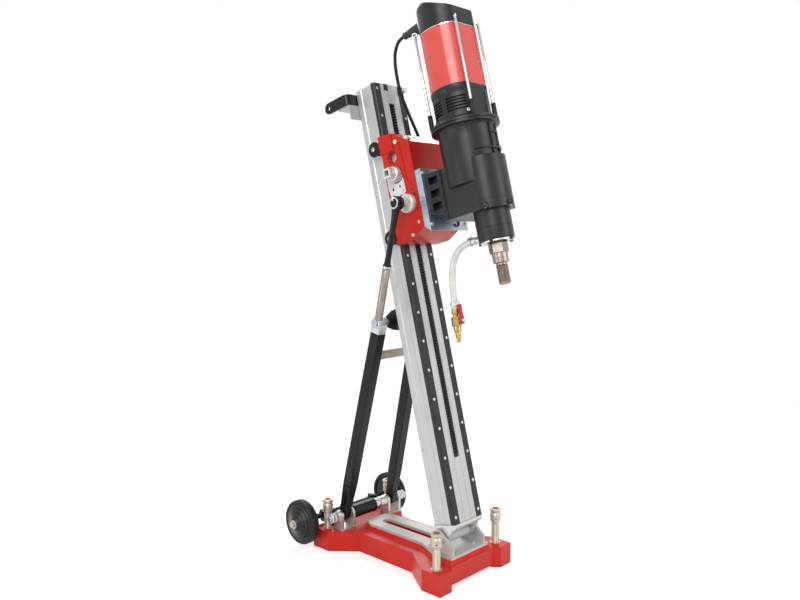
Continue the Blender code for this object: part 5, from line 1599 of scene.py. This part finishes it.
def make_carriage():
    half = CARRIAGE_HALF
    inner = half - CHEEK
    cavity = [
        (-0.02, CARRIAGE_BOTTOM + 0.012), (0.046, CARRIAGE_BOTTOM + 0.012),
        (CARRIAGE_FRONT - 0.012, CARRIAGE_BOTTOM + 0.034),
        (CARRIAGE_FRONT - 0.012, CARRIAGE_TOP - 0.052), (0.046, CARRIAGE_TOP - 0.016),
        (-0.02, CARRIAGE_TOP - 0.012),
    ]
    roller_f = -RAIL_DEPTH - GAP - ROLLER_RADIUS
    ears, pads, bores = [], [], []
    for s in ROLLER_S.values():
        ear = circle(
            roller_f, s, 0.014, 21, radians(90), pi
        ) + [(0.004, s - 0.014), (0.004, s + 0.014)]
        for side in (-1, 1):
            ears.append(slab(ear, side * inner, side * (inner + 0.008)))
        bores.append(cylinder(0.006, -0.1, 0.1, column_point(0, roller_f, s), X_AXIS, SMALL))
    block = [(-0.003, 0.996), (0.044, 0.996), (0.044, 1.0415), (-0.003, CARRIAGE_TOP + 0.0005)]
    for side in (-1, 1):
        pads.append(slab(block, side * (half - 0.004), side * (half + 0.003)))
    for f, s in ((PINION_F, PINION_S), (DRIVE_F, DRIVE_S)):
        bores.append(cylinder(SHAFT_RADIUS + GAP, -0.1, 0.1, column_point(0, f, s), X_AXIS))
    rear = column_box(-inner, inner, -0.02, 0.004, CARRIAGE_BOTTOM - 0.01, CARRIAGE_TOP + 0.01)
    window_at = column_point(0, 0.0344, 0.9785)
    window = cylinder(0.0165, -0.09, -inner + 0.01, window_at, X_AXIS)
    body = carved(
        slab(carriage_outline(), -half, half), [together(pads)], [slab(cavity, -inner, inner), rear]
    )
    body = carved(body, ears, [together(bores), window])
    rim = tube(0.0185, 0.0165, -0.0772, -0.0755, window_at, X_AXIS)
    bush = turned(
        [(0.0155, 0.0), (0.0155, 0.0012), (0.014, 0.002)],
        column_point(-inner + 0.004, 0.0325, 0.9795), (-1, 0, 0),
    )
    ribs = []
    for f0, s0, f1, s1 in ((0.064, 1.012, 0.072, 0.906), (0.072, 0.906, 0.094, 0.884)):
        ribs.append(side_bar(-half - 0.0014, -half + 0.001, (f0, s0), (f1, s1), 0.003))
        ribs.append(side_bar(half - 0.001, half + 0.0014, (f0, s0), (f1, s1), 0.003))
    bolts = []
    for side in (-1, 1):
        out = (side, 0, 0)
        for f, s, r in ((0.056, 1.015, 0.0062), (0.0598, 0.7615, 0.005), (0.088, 0.79, 0.0042)):
            bolts.append(socket_head(r, 0.0042, column_point(side * half, f, s), out))
        idler = column_point(side * half, IDLER_F, IDLER_S)
        bolts.append(turned([(0.0058, 0), (0.0058, 0.0008), (0.005, 0.0014)], idler, out))
    piece(
        "carriage_casting", "carriage", COLUMN,
        [("red_paint", [body, rim, *ribs]), ("bright_zinc", bolts), ("pale_hub", bush)],
        ["carriage"], bevel=0.0013, segments=3,
    )


def side_bar(x0, x1, start, end, width):
    """A bar on a side face between two (f, s) points."""
    df, ds = end[0] - start[0], end[1] - start[1]
    length = hypot(df, ds)
    nf, ns = -ds / length * width / 2, df / length * width / 2
    outline = [
        (start[0] + nf, start[1] + ns), (end[0] + nf, end[1] + ns), (end[0] - nf, end[1] - ns),
        (start[0] - nf, start[1] - ns),
    ]
    low, high = sorted((x0, x1))
    return slab(outline, low, high)


def drop_outline(f, s, size):
    """A drop with its point up."""
    points = circle(f, s, size, 15, radians(150), radians(240))
    return points + [(f, s + size * 2.6)]


def make_labels():
    low, high = -CARRIAGE_HALF - 0.0006, -CARRIAGE_HALF - 0.0001
    outline = [
        (0.002, 0.957), (0.05, 0.946), (0.0605, 0.91), (0.0615, 0.879), (0.008, 0.868), (0.002, 0.9)
    ]
    plate = carved(
        slab(outline, low, high),
        cut=[
            cylinder(SHAFT_RADIUS + 0.0078, -0.1, 0.1, column_point(0, PINION_F, PINION_S), X_AXIS)
        ],
    )
    marks = []
    over = (low - 0.0002, low)
    for f, s, size in ((0.044, 0.8965, 0.0028), (0.0185, 0.8945, 0.0034)):
        marks.append(slab(drop_outline(f, s, size), *over))
    for f, s, size in ((0.0535, 0.93, 0.002), (0.0165, 0.88, 0.0019), (0.054, 0.885, 0.0017)):
        marks.append(slab(circle(f, s, size, 20), *over))
    arc_outer = circle(PINION_F, PINION_S, 0.0255, 21, radians(-115), radians(85))
    arc_inner = circle(PINION_F, PINION_S, 0.0222, 21, radians(-30), radians(-85))
    marks.append(slab(arc_outer + arc_inner, *over))
    piece(
        "feed_label", "carriage", COLUMN, [("label_white", plate), ("mark_black", marks)], bevel=0
    )
    gear_marks = []
    x = (-CARRIAGE_HALF - 0.0004, -CARRIAGE_HALF - 0.0001)
    arc_outer = circle(DRIVE_F, DRIVE_S, 0.032, 25, radians(-38), radians(82))
    arc_inner = circle(DRIVE_F, DRIVE_S, 0.0302, 25, radians(44), radians(-82))
    gear_marks.append(slab(arc_outer + arc_inner, *x))
    gear_marks.append(slab([(0.0855, 0.8725), (0.0925, 0.865), (0.0835, 0.863)], *x))
    gear_marks.append(slab([(0.0885, 0.819), (0.0945, 0.827), (0.086, 0.8285)], *x))
    for f, s in ((0.079, 0.879), (0.0855, 0.879), (0.082, 0.808)):
        gear_marks.append(slab(circle(f, s, 0.002, 18), *x))
    piece("feed_marks", "carriage", COLUMN, [("mark_black", gear_marks)], bevel=0)


def make_feed():
    width = 0.009
    inner = CARRIAGE_HALF - CHEEK
    centre = column_point(0, PINION_F, PINION_S)
    gear = slab(
        moved(gear_outline(PINION_TEETH, MODULE, pi + pi / PINION_TEETH), PINION_F, PINION_S),
        -width, width,
    )
    hub = [
        (0.014, -0.101), (0.015, -0.0985), (0.015, -0.0935), (0.019, -0.0905), (0.0192, -0.079),
        (0.0185, -CARRIAGE_HALF - GAP - 0.0004), (SHAFT_RADIUS, -CARRIAGE_HALF - GAP),
        (SHAFT_RADIUS, inner + 0.012),
    ]
    head = carved(
        square_bar(0.0128, -0.113, -0.1, centre), cut=[square_bar(0.0072, -0.13, -0.1005, centre)]
    )
    # A thin black square at the bottom of the head's square hole: painted shade for the depth of
    # the hole
    square_hole_shade = square_bar(0.0071, -0.1012, -0.1006, centre)
    piece(
        "fast_feed_hub", "pinion", COLUMN,
        [("pale_hub", [turned(hub, centre, X_AXIS), head]), ("mark_black", square_hole_shade), ("steel", gear)],
        ["pinion_shaft"], bevel=0.0006,
    )
    centre = column_point(0, DRIVE_F, DRIVE_S)
    hub = [
        (0.017, -0.0965), (0.0212, -0.0955), (0.0218, -0.0925), (0.0238, -0.0915), (0.025, -0.0895),
        (0.025, -0.079), (0.0242, -CARRIAGE_HALF - GAP), (SHAFT_RADIUS, -CARRIAGE_HALF - GAP),
        (SHAFT_RADIUS, inner + 0.012),
    ]
    square = square_bar(DRIVE_SQUARE, -0.128, -0.09, centre)
    to_idler = atan2(IDLER_S - PINION_S, IDLER_F - PINION_F)
    pitch = pi * MODULE
    large, small = PINION_TEETH * MODULE / 2, DRIVE_TEETH * MODULE / 2
    phase = mating_phase(to_idler, pi + pi / PINION_TEETH, large, pitch, small)
    to_drive = atan2(DRIVE_S - IDLER_S, DRIVE_F - IDLER_F)
    phase = mating_phase(to_drive, phase, small, pitch, small)
    gear = slab(moved(gear_outline(DRIVE_TEETH, MODULE, phase), DRIVE_F, DRIVE_S), -width, width)
    piece(
        "slow_feed_hub", "reduction", COLUMN,
        [("pale_hub", turned(hub, centre, X_AXIS)), ("steel", [square, gear])], ["reduction_shaft"],
        bevel=0.0005,
    )


def make_rollers():
    roller_f = -RAIL_DEPTH - GAP - ROLLER_RADIUS
    for height, s in ROLLER_S.items():
        for name, side in SIDES:
            centre = column_point(0, roller_f, s)
            out = (side, 0, 0)
            profile = [
                (0.015, 0.053), (ROLLER_RADIUS - GAP, 0.0536), (ROLLER_RADIUS - GAP, 0.059),
                (0.0057, 0.059), (0.0057, 0.0703), (ROLLER_CAP_RADIUS - 0.001, 0.0703),
                (ROLLER_CAP_RADIUS, 0.0713), (ROLLER_CAP_RADIUS, 0.0735),
                (ROLLER_CAP_RADIUS - 0.0016, 0.075), (0.0165, 0.075), (0.0158, 0.0742),
                (0.01, 0.0742),
            ]
            face = turned([(0.0155, 0.0741), (0.0155, 0.0748), (0.009, 0.0752)], centre, out)
            bolt = hex_head(0.0068, 0.004, centre + Vector((side * 0.0752, 0, 0)), out)
            piece(
                f"roller_{height}_{name}_wheel", f"roller_{height}_{name}", COLUMN,
                [("black_paint", [turned(profile, centre, out), face]), ("steel", bolt)],
                [f"guide_roller_{height}_{name}"], bevel=0, angle=50,
            )


def make_crank():
    hub = column_point(CRANK_X, DRIVE_F, DRIVE_S)
    away = Vector((0, sin(CRANK_LEAN), -cos(CRANK_LEAN)))
    hole = cylinder(DRIVE_SQUARE * sqrt(2) + 0.0008, -0.03, 0.03, hub, X_AXIS, SMALL)
    head = [
        (0.014, -0.012), (0.0155, -0.0116), (0.0175, -0.0098), (0.018, -0.008), (0.018, 0.008),
        (0.0172, 0.0105), (0.015, 0.012),
    ]
    grip_start = 0.175
    steps = [
        (0.01, 0.012), (0.02, 0.0108), (0.03, 0.0094), (0.045, 0.0084), (0.075, 0.0078),
        (0.11, 0.0076), (0.14, 0.0079), (0.16, 0.0088), (0.166, 0.0112), (0.1745, 0.0115),
    ]
    neck = swept([hub + away * at for at, _ in steps], [r for _, r in steps], SMALL)
    ring = tube(0.0158, 0.0112, -0.0132, -0.0116, hub, X_AXIS)
    cap = turned([(0.0108, -0.0126), (0.01, -0.0138), (0.006, -0.0142)], hub, X_AXIS)
    dot = button_head(0.0022, 0.0014, hub + Vector((-0.0134, 0.006, 0.0105)), (-1, 0, 0))
    lever = box(hub + Vector((-0.016, -0.0022, 0.004)), hub + Vector((-0.012, 0.0022, 0.0145)))
    band = tube(0.0119, 0.01, grip_start - 0.0072, grip_start - 0.0018, hub, away)
    piece(
        "crank_ratchet", "crank", COLUMN,
        [
            ("black_paint", [carved(turned(head, hub, X_AXIS), cut=[hole]), neck]),
            ("chrome", ring), ("black_paint", cap), ("brass", dot), ("chrome", [lever, band]),
            ("steel", cylinder(0.0075, grip_start - GAP, grip_start + 0.06, hub, away)),
        ],
        ["ratchet_head"], bevel=0.0006,
    )
    profile = [
        (0.0078, grip_start + 0.0003), (0.01, grip_start + 0.0003), (0.0105, grip_start + 0.001),
        (0.0105, CRANK_LENGTH - 0.001), (0.01, CRANK_LENGTH), (0.0084, CRANK_LENGTH),
        (0.0078, CRANK_LENGTH - 0.0008),
    ]
    grip = turned(profile, hub, away, ring=True)
    piece("crank_grip", "crank", COLUMN, [("crank_metal", grip)], ["crank_tube"], bevel=0, angle=50)


def make_trim():
    slope = atan2(0.038, 0.053)
    normal = Vector((0, -sin(slope), cos(slope)))
    seat = column_point(-0.062, 0.083, 1.0158)
    bezel = tube(0.0108, 0.009, 0.0004, 0.006, seat, normal)
    dome = [(0.0089, 0.0004)] + [
        (0.0089 * cos(a), 0.0055 + 0.003 * sin(a)) for a in (0.0, 0.5, 0.9, 1.3)
    ]
    ring = tube(0.0042, 0.0038, 0.0083, 0.0086, seat, normal)
    piece(
        "bubble_level", "carriage", COLUMN,
        [("bright_zinc", bezel), ("level_green", turned(dome, seat, normal)), ("mark_black", ring)],
        ["spirit_level"], bevel=0.0002,
    )
    low, high = CARRIAGE_BOTTOM + 0.01, 0.923
    front = CARRIAGE_FRONT + GAP
    outline = [
        (front, low + 0.015), (front + SPACER_DEPTH, low), (front + SPACER_DEPTH, high),
        (front, high),
    ]
    groove = column_box(-0.09, 0.09, front + SPACER_DEPTH - 0.002, front + 0.05, 0.842, 0.8445)
    notch = column_box(-0.09, -SPACER_HALF + 0.0015, front + 0.004, front + 0.05, 0.8405, 0.846)
    plate = carved(slab(outline, -SPACER_HALF, SPACER_HALF), cut=[groove, notch])
    bolts = []
    for s in (0.776, 0.912):
        for x in (-0.068, 0.068):
            at = column_point(x, front + SPACER_DEPTH, s)
            bolts.append(socket_head(0.005, 0.004, at, AHEAD))
    hook = swept(
        [
            column_point(
                0.03 + 0.009 * sin(a), front + SPACER_DEPTH + 0.0022, 0.778 + 0.009 * cos(a)
            )
            for a in [k * 0.35 for k in range(14)]
        ],
        [0.0018] * 14, 12,
    )
    piece(
        "spacer_block", "carriage", COLUMN,
        [("zinc", plate), ("bright_zinc", bolts), ("mark_black", hook)], ["spacer_plate"],
        bevel=0.0008,
    )


# ---------------------------------------------------------------- drill motor


def motor_outline(radius, flat=MOTOR_FLAT_F, count=FINE):
    """(x, f) of the motor's round body with its flat front face."""
    return [(x, min(f, flat)) for x, f in circle(0.0, MOTOR_F, radius, count)]


def shell(profile, flat=MOTOR_FLAT_F):
    """A solid stacked from motor outlines; profile holds (radius, s) pairs."""
    bm = bmesh.new()
    rows = []
    for radius, s in profile:
        shift = flat + (radius - SLEEVE_RADIUS)
        rows.append(
            [bm.verts.new((x, y, along(s))) for x, y in plan_outline(motor_outline(radius, shift))]
        )
    return skinned(bm, rows)


def sector(inner, outer, centre_f, start, end, s0, s1, count=24):
    """A slab of ring about an axis parallel to the column, between two angles in degrees."""
    first, sweep = radians(start), radians(end - start)
    outline = circle(0.0, centre_f, outer, count, first, sweep)
    outline += circle(0.0, centre_f, inner, count, first + sweep, -sweep)
    return prism(plan_outline(outline), along(s0), along(s1))


def radial(radius, angle, s, centre_f=MOTOR_F):
    """A point on the motor's side and its outward direction."""
    a = radians(angle)
    point = column_point(radius * cos(a), centre_f + radius * sin(a), s)
    return point, Vector((cos(a), -sin(a), 0))


def make_gearbox():
    axis_foot = (0, column_point(0, SPINDLE_F, 0).y, 0)
    front = CARRIAGE_FRONT + SPACER_DEPTH + 2 * GAP
    profile = [
        (GEARBOX_RADIUS - 0.01, GEARBOX_FLOOR - 0.006),
        (GEARBOX_RADIUS - 0.002, GEARBOX_FLOOR - 0.003),
        (GEARBOX_RADIUS - 0.0012, GEARBOX_FLOOR + 0.002), (GEARBOX_RADIUS, 0.96),
        (GEARBOX_RADIUS, 0.985), (GEARBOX_RADIUS + 0.002, 0.9895), (GEARBOX_RADIUS + FLANGE, 0.992),
        (GEARBOX_RADIUS + FLANGE, GEARBOX_TOP),
    ]
    barrel = upright(profile, 0, MOTOR_F, FINE)
    half = 0.06
    nose = circle(0.0, SPINDLE_F, half, 49, 0.0, pi)
    block = prism(
        plan_outline(nose + [(-half, 0.16), (half, 0.16)]), along(BLOCK_BOTTOM),
        along(GEARBOX_FLOOR + 0.055),
    )
    foot = [(-0.064, front), (0.064, front), (0.064, 0.172), (-0.064, 0.172)]
    slots = []
    for k in range(3):
        s = 0.806 + k * 0.034
        for side in (-1, 1):
            low, high = sorted((side * 0.046, side * 0.08))
            slots.append(column_box(low, high, front + 0.01, 0.163, s, s + 0.019))
    mount = carved(prism(plan_outline(foot), along(0.797), along(0.905)), cut=[together(slots)])
    block = carved(block, cut=[cylinder(0.0225, along(0.76), along(0.87), axis_foot, UP)])
    ribs = []
    for angle in (136.5, 92, 66, 44, 20):
        ribs.append(
            sector(
                GEARBOX_RADIUS - 0.004, GEARBOX_RADIUS + 0.0042, MOTOR_F, angle - 1.3, angle + 1.3,
                0.905, 0.992, 5,
            )
        )
    ribs.append(
        sector(GEARBOX_RADIUS - 0.004, GEARBOX_RADIUS + 0.0044, MOTOR_F, 20, 136.5, 0.9235, 0.9275)
    )
    ribs.append(
        sector(GEARBOX_RADIUS - 0.004, GEARBOX_RADIUS + 0.0038, MOTOR_F, 62, 96, 0.9655, 0.969)
    )
    for side in (-1, 1):
        low, high = sorted((side * (half - 0.001), side * (half + 0.0022)))
        ribs.append(column_box(low, high, 0.171, 0.1745, 0.775, 0.902))
    screws = []
    for angle, s in ((40, 0.932), (140, 0.999), (80, 0.999), (20, 0.999), (200, 0.999)):
        point, out = radial(GEARBOX_RADIUS + 0.0015, angle, s)
        ribs.append(turned([(0.0078, -0.006), (0.0078, 0.0044), (0.0068, 0.0056)], point, out))
        screws.append(cylinder(0.0034, 0.003, 0.0058, point, out, 6))
    for angle in (24, 90, 156):
        a = radians(angle)
        at = column_point(
            (half + 0.001) * cos(a), SPINDLE_F + (half + 0.001) * sin(a), BLOCK_BOTTOM + 0.001
        )
        at.z = along(BLOCK_BOTTOM)
        ribs.append(
            turned([(0.0075, 0.0005), (0.0085, 0.003), (0.0085, 0.0125), (0.007, 0.015)], at, UP)
        )
        screws.append(cylinder(0.004, 0.0, 0.001, at, UP, 6))
    seams = [sector(half - 0.002, half + 0.0006, SPINDLE_F, 4, 176, 0.795, 0.7962)]
    piece(
        "gearbox_body", "carriage", COLUMN,
        [("motor_plastic", [barrel, block, mount, *ribs, *seams]), ("bright_zinc", screws)],
        ["gearbox_housing"], bevel=0.0016, segments=3,
    )


def make_spindle_parts():
    axis_foot = (0, column_point(0, SPINDLE_F, 0).y, 0)
    drill_water = column_point(0, SPINDLE_F, INLET_S)
    housing = [
        (0.0225, HOUSING_BOTTOM), (HOUSING_RADIUS - 0.0045, HOUSING_BOTTOM),
        (HOUSING_RADIUS - 0.0012, HOUSING_BOTTOM + 0.0022),
        (HOUSING_RADIUS - 0.0006, HOUSING_BOTTOM + 0.006), (HOUSING_RADIUS, 0.728),
        (HOUSING_RADIUS - 0.0008, 0.7286), (HOUSING_RADIUS - 0.0008, 0.7296),
        (HOUSING_RADIUS, 0.7302), (HOUSING_RADIUS, BLOCK_BOTTOM - GAP),
        (0.0225, BLOCK_BOTTOM - GAP),
    ]
    body = carved(
        upright(housing, 0, SPINDLE_F, FINE, True),
        cut=[cylinder(0.0073, 0.02, 0.06, drill_water, BACK, SMALL)],
    )
    seal = tube(
        HOUSING_RADIUS - 0.003, 0.026, along(HOUSING_BOTTOM - 0.0022),
        along(HOUSING_BOTTOM + 0.001), axis_foot, UP, FINE,
    )
    tabs = [
        sector(
            0.041, HOUSING_RADIUS + 0.0002, SPINDLE_F, a - 5, a + 5, HOUSING_BOTTOM - 0.005,
            HOUSING_BOTTOM + 0.002, 6,
        )
        for a in (18, 90, 162, 234, 306)
    ]
    piece(
        "spindle_bearing_housing", "carriage", COLUMN,
        [("motor_plastic", body), ("bright_zinc", seal), ("motor_plastic", tabs)],
        ["spindle_housing"], bevel=0.0006,
    )
    shaft = [
        (0.0155, 0.6335), (0.0136, 0.6345), (0.0136, 0.639), (0.0192, 0.64), (0.02, 0.6412),
        (0.02, 0.65), (0.0194, 0.6508), (0.0194, 0.652), (0.02, 0.6528), (0.02, 0.664),
        (0.017, 0.6645), (0.017, 0.846), (0.012, 0.846), (0.012, 0.876),
    ]
    hexagon = [
        (0.0215, 0.6637), (0.0245, 0.6655), (0.0245, HOUSING_BOTTOM - 0.006),
        (0.022, HOUSING_BOTTOM - 0.0035),
    ]
    tip = [
        (0.01, SPINDLE_END), (0.0128, SPINDLE_END), (0.014, SPINDLE_END + 0.0016),
        (0.014, SPINDLE_END + 0.004), (0.0095, SPINDLE_END + 0.004),
    ]
    screw = thread(
        0.0159, 0.0019, 0.0036, along(SPINDLE_END + 0.0022), along(0.634), axis_foot, UP, ROUND, 6
    )
    bore_low, bore_high = along(SPINDLE_END - 0.01), along(SPINDLE_END + 0.03)
    bored = []
    for whole in (upright(tip, 0, SPINDLE_F), screw):
        bore = cylinder(0.009, bore_low, bore_high, axis_foot, UP, SMALL)
        bored.append(carved(whole, cut=[bore]))
    metal = [upright(shaft, 0, SPINDLE_F), upright(hexagon, 0, SPINDLE_F, 6), *bored]
    piece("drill_spindle", "spindle", COLUMN, [("spindle_metal", metal)], ["spindle"], bevel=0.0004)


def make_motor():
    groove = 0.0052
    profile = [
        (0.069, GEARBOX_TOP + GAP), (0.0735, GEARBOX_TOP + 0.001), (0.0735, 1.0115),
        (0.0715, 1.014), (0.07, 1.016), (0.07, 1.029),
    ]
    for k in range(5):
        s = 1.0295 + 0.0078 * k
        profile += [
            (0.07 - groove, s), (0.07 - groove, s + 0.0036), (0.07, s + 0.0042), (0.07, s + 0.007)
        ]
    profile += [(0.07, 1.07), (0.07, 1.0815), (SLEEVE_RADIUS, 1.085), (SLEEVE_RADIUS, LOWER_TOP)]
    posts = []
    for angle in (124, 226, 314, 56, 180):
        posts.append(sector(0.0625, 0.0706, MOTOR_F, angle - 6, angle + 6, 1.0155, 1.082, 9))
    cover = [
        (-0.044, 0.262), (0.044, 0.262), (0.042, MOTOR_FLAT_F + 0.0002),
        (-0.042, MOTOR_FLAT_F + 0.0002),
    ]
    posts.append(prism(plan_outline(cover), along(1.0155), along(1.083)))
    screws = []
    for angle in (130, 50, 230, 310):
        point, out = radial(0.0698, angle, 1.0235)
        posts.append(turned([(0.0062, -0.004), (0.0062, 0.0018)], point, out))
        screws.append(socket_head(0.0046, 0.0036, point + out * 0.0012, out))
    piece(
        "motor_vent_housing", "carriage", COLUMN,
        [("motor_plastic", [shell(profile), *posts]), ("bright_zinc", screws)],
        ["motor_lower_housing"], bevel=0.0006,
    )
    sleeve = shell(
        [
            (SLEEVE_RADIUS - 0.0006, LOWER_TOP + GAP), (SLEEVE_RADIUS, LOWER_TOP + 0.0012),
            (SLEEVE_RADIUS, SLEEVE_TOP - 0.0008), (SLEEVE_RADIUS - 0.0006, SLEEVE_TOP),
        ]
    )
    seams = [
        sector(
            SLEEVE_RADIUS - 0.002, SLEEVE_RADIUS + 0.00008, MOTOR_F, a - 0.22, a + 0.22,
            LOWER_TOP + 0.0004, SLEEVE_TOP - 0.0003, 4,
        )
        for a in (158, 22, 270)
    ]
    piece(
        "motor_red_sleeve", "carriage", COLUMN, [("sleeve_red", sleeve), ("mark_black", seams)],
        ["motor_sleeve"], bevel=0.0004,
    )
    piece(
        "stator_pack", "carriage", COLUMN,
        [("steel", shell([(STATOR_RADIUS, 1.108), (STATOR_RADIUS, 1.208)]))], ["stator"], bevel=0,
    )
    band = shell(
        [
            (SLEEVE_RADIUS + 0.0002, SLEEVE_TOP + 0.0001),
            (SLEEVE_RADIUS + 0.0009, SLEEVE_TOP + 0.0005),
            (SLEEVE_RADIUS + 0.0009, SLEEVE_TOP + 0.003), (SLEEVE_RADIUS, SLEEVE_TOP + 0.0034),
        ]
    )
    cap_profile = [
        (SLEEVE_RADIUS - 0.0006, SLEEVE_TOP + 0.003), (SLEEVE_RADIUS - 0.0006, CAP_TOP - 0.026),
        (SLEEVE_RADIUS - 0.002, CAP_TOP - 0.022), (SLEEVE_RADIUS - 0.014, CAP_TOP - 0.003),
        (SLEEVE_RADIUS - 0.018, CAP_TOP),
    ]
    slope = [
        (0.18, CAP_TOP + 0.001), (0.33, 1.2795), (0.33, CAP_TOP + 0.02), (0.18, CAP_TOP + 0.02)
    ]
    cap = carved(shell(cap_profile), cut=[slab(slope, -0.1, 0.1)])
    details = []
    for angle in (136, 44):
        details.append(
            sector(
                SLEEVE_RADIUS - 0.004, SLEEVE_RADIUS + 0.0004, MOTOR_F, angle - 1.6, angle + 1.6,
                SLEEVE_TOP + 0.004, 1.301, 5,
            )
        )
    seat = column_point(0, MOTOR_F - SLEEVE_RADIUS + 0.006, 1.3)
    arch = turned([(0.027, -0.004), (0.0255, 0.004), (0.0215, 0.0056)], seat, BACK)
    piece(
        "motor_top_cap", "carriage", COLUMN,
        [("motor_plastic", [cap, *details, arch]), ("chrome", band)], ["motor_cap"], bevel=0.001,
        segments=3,
    )


def make_guard_cage():
    inner = GEARBOX_RADIUS + FLANGE + GAP
    ring_profile = [
        (inner, 0.9925), (0.0865, 0.9925), (0.0885, 0.994), (0.0885, 0.9985), (0.0868, 0.9993),
        (0.0868, 1.0003), (0.0885, 1.0011), (0.0885, 1.0062), (0.0868, 1.008), (inner, 1.008),
    ]
    ring = upright(ring_profile, 0, MOTOR_F, FINE, True)
    sleeves, rods = [], []
    for x, f in ((-0.045, 0.299), (0.045, 0.299), (-0.058, 0.172), (0.058, 0.172)):
        sleeve = [
            (0.0055, 1.006), (0.0062, 1.007), (0.0062, 1.045), (0.0052, 1.0462), (0.0036, 1.0466)
        ]
        sleeves.append(upright(sleeve, x, f, 28))
        rods.append(upright([(0.0036, 1.046), (0.0036, 1.2575), (0.003, 1.2585)], x, f, 28))
        towards = Vector((x, f - MOTOR_F)).normalized()
        near = SLEEVE_RADIUS + 0.0024
        wire_x, wire_f = near * towards.x, min(MOTOR_F + near * towards.y, MOTOR_FLAT_F + 0.0024)
        top = column_point(x, f, 1.256)
        low = column_point(wire_x, wire_f, 1.086)
        high = column_point(wire_x, wire_f, 1.247)
        bridge = [
            low, (low + high) / 2, high, (high * 0.6 + column_point(x, f, 1.253) * 0.4),
            column_point(x, f, 1.2535),
        ]
        rods.append(swept(smooth_path(bridge, 5), [0.0015] * 21, 12))
        loop = [
            top + Vector((0, 0.0, 0.006)) + Vector(
                (towards.x * 0.0058 * sin(t), -towards.y * 0.0058 * sin(t), -0.0058 * cos(t))
            )
            for t in [k * tau / 16 for k in range(17)]
        ]
        rods.append(swept(loop, [0.0018] * 17, 10))
        rods.append(upright([(0.005, 1.0035), (0.006, 1.0045), (0.006, 1.0068)], x, f, 28))
    piece(
        "guard_rods", "carriage", COLUMN,
        [("motor_plastic", ring), ("rubber", sleeves), ("chrome", rods)], ["guard_cage"],
        bevel=0.0006, angle=40,
    )


def make_selector():
    seat = column_point(0.06 + GAP, 0.25, 0.791)
    knob = [(0.0115, 0.0), (0.013, 0.0016), (0.013, 0.0092), (0.012, 0.0112), (0.007, 0.012)]
    bar = box(seat + Vector((0.0095, -0.0115, -0.0024)), seat + Vector((0.012, 0.0115, 0.0024)))
    piece(
        "gear_selector_knob", "selector", COLUMN,
        [("motor_plastic", turned(knob, seat, X_AXIS)), ("bright_zinc", bar)], ["gear_selector"],
        bevel=0.0006,
    )


def dress_inner_parts():
    """The gears and rotor inside the housings keep their CAD shape and get their finish."""
    looks = {"idler_gear": "steel", "counter_shaft": "steel", "armature": "copper"}
    for node, look in looks.items():
        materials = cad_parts[node].data.materials
        materials.clear()
        materials.append(LOOKS[look])


make_camera()
make_cord()
make_hose()
make_world()
make_floor()
make_lights()
make_base()
make_deck()
make_levelling_screws()
make_rear_clevises()
make_pivot_rod()
make_axle()
make_wheels()
make_braces()
make_profile()
make_foot()
make_rails()
make_rack()
make_scale()
make_column_top()
make_column_stop()
make_brace_bracket()
make_carriage()
make_labels()
make_feed()
make_rollers()
make_crank()
make_trim()
make_gearbox()
make_spindle_parts()
make_motor()
make_guard_cage()
make_selector()
dress_inner_parts()
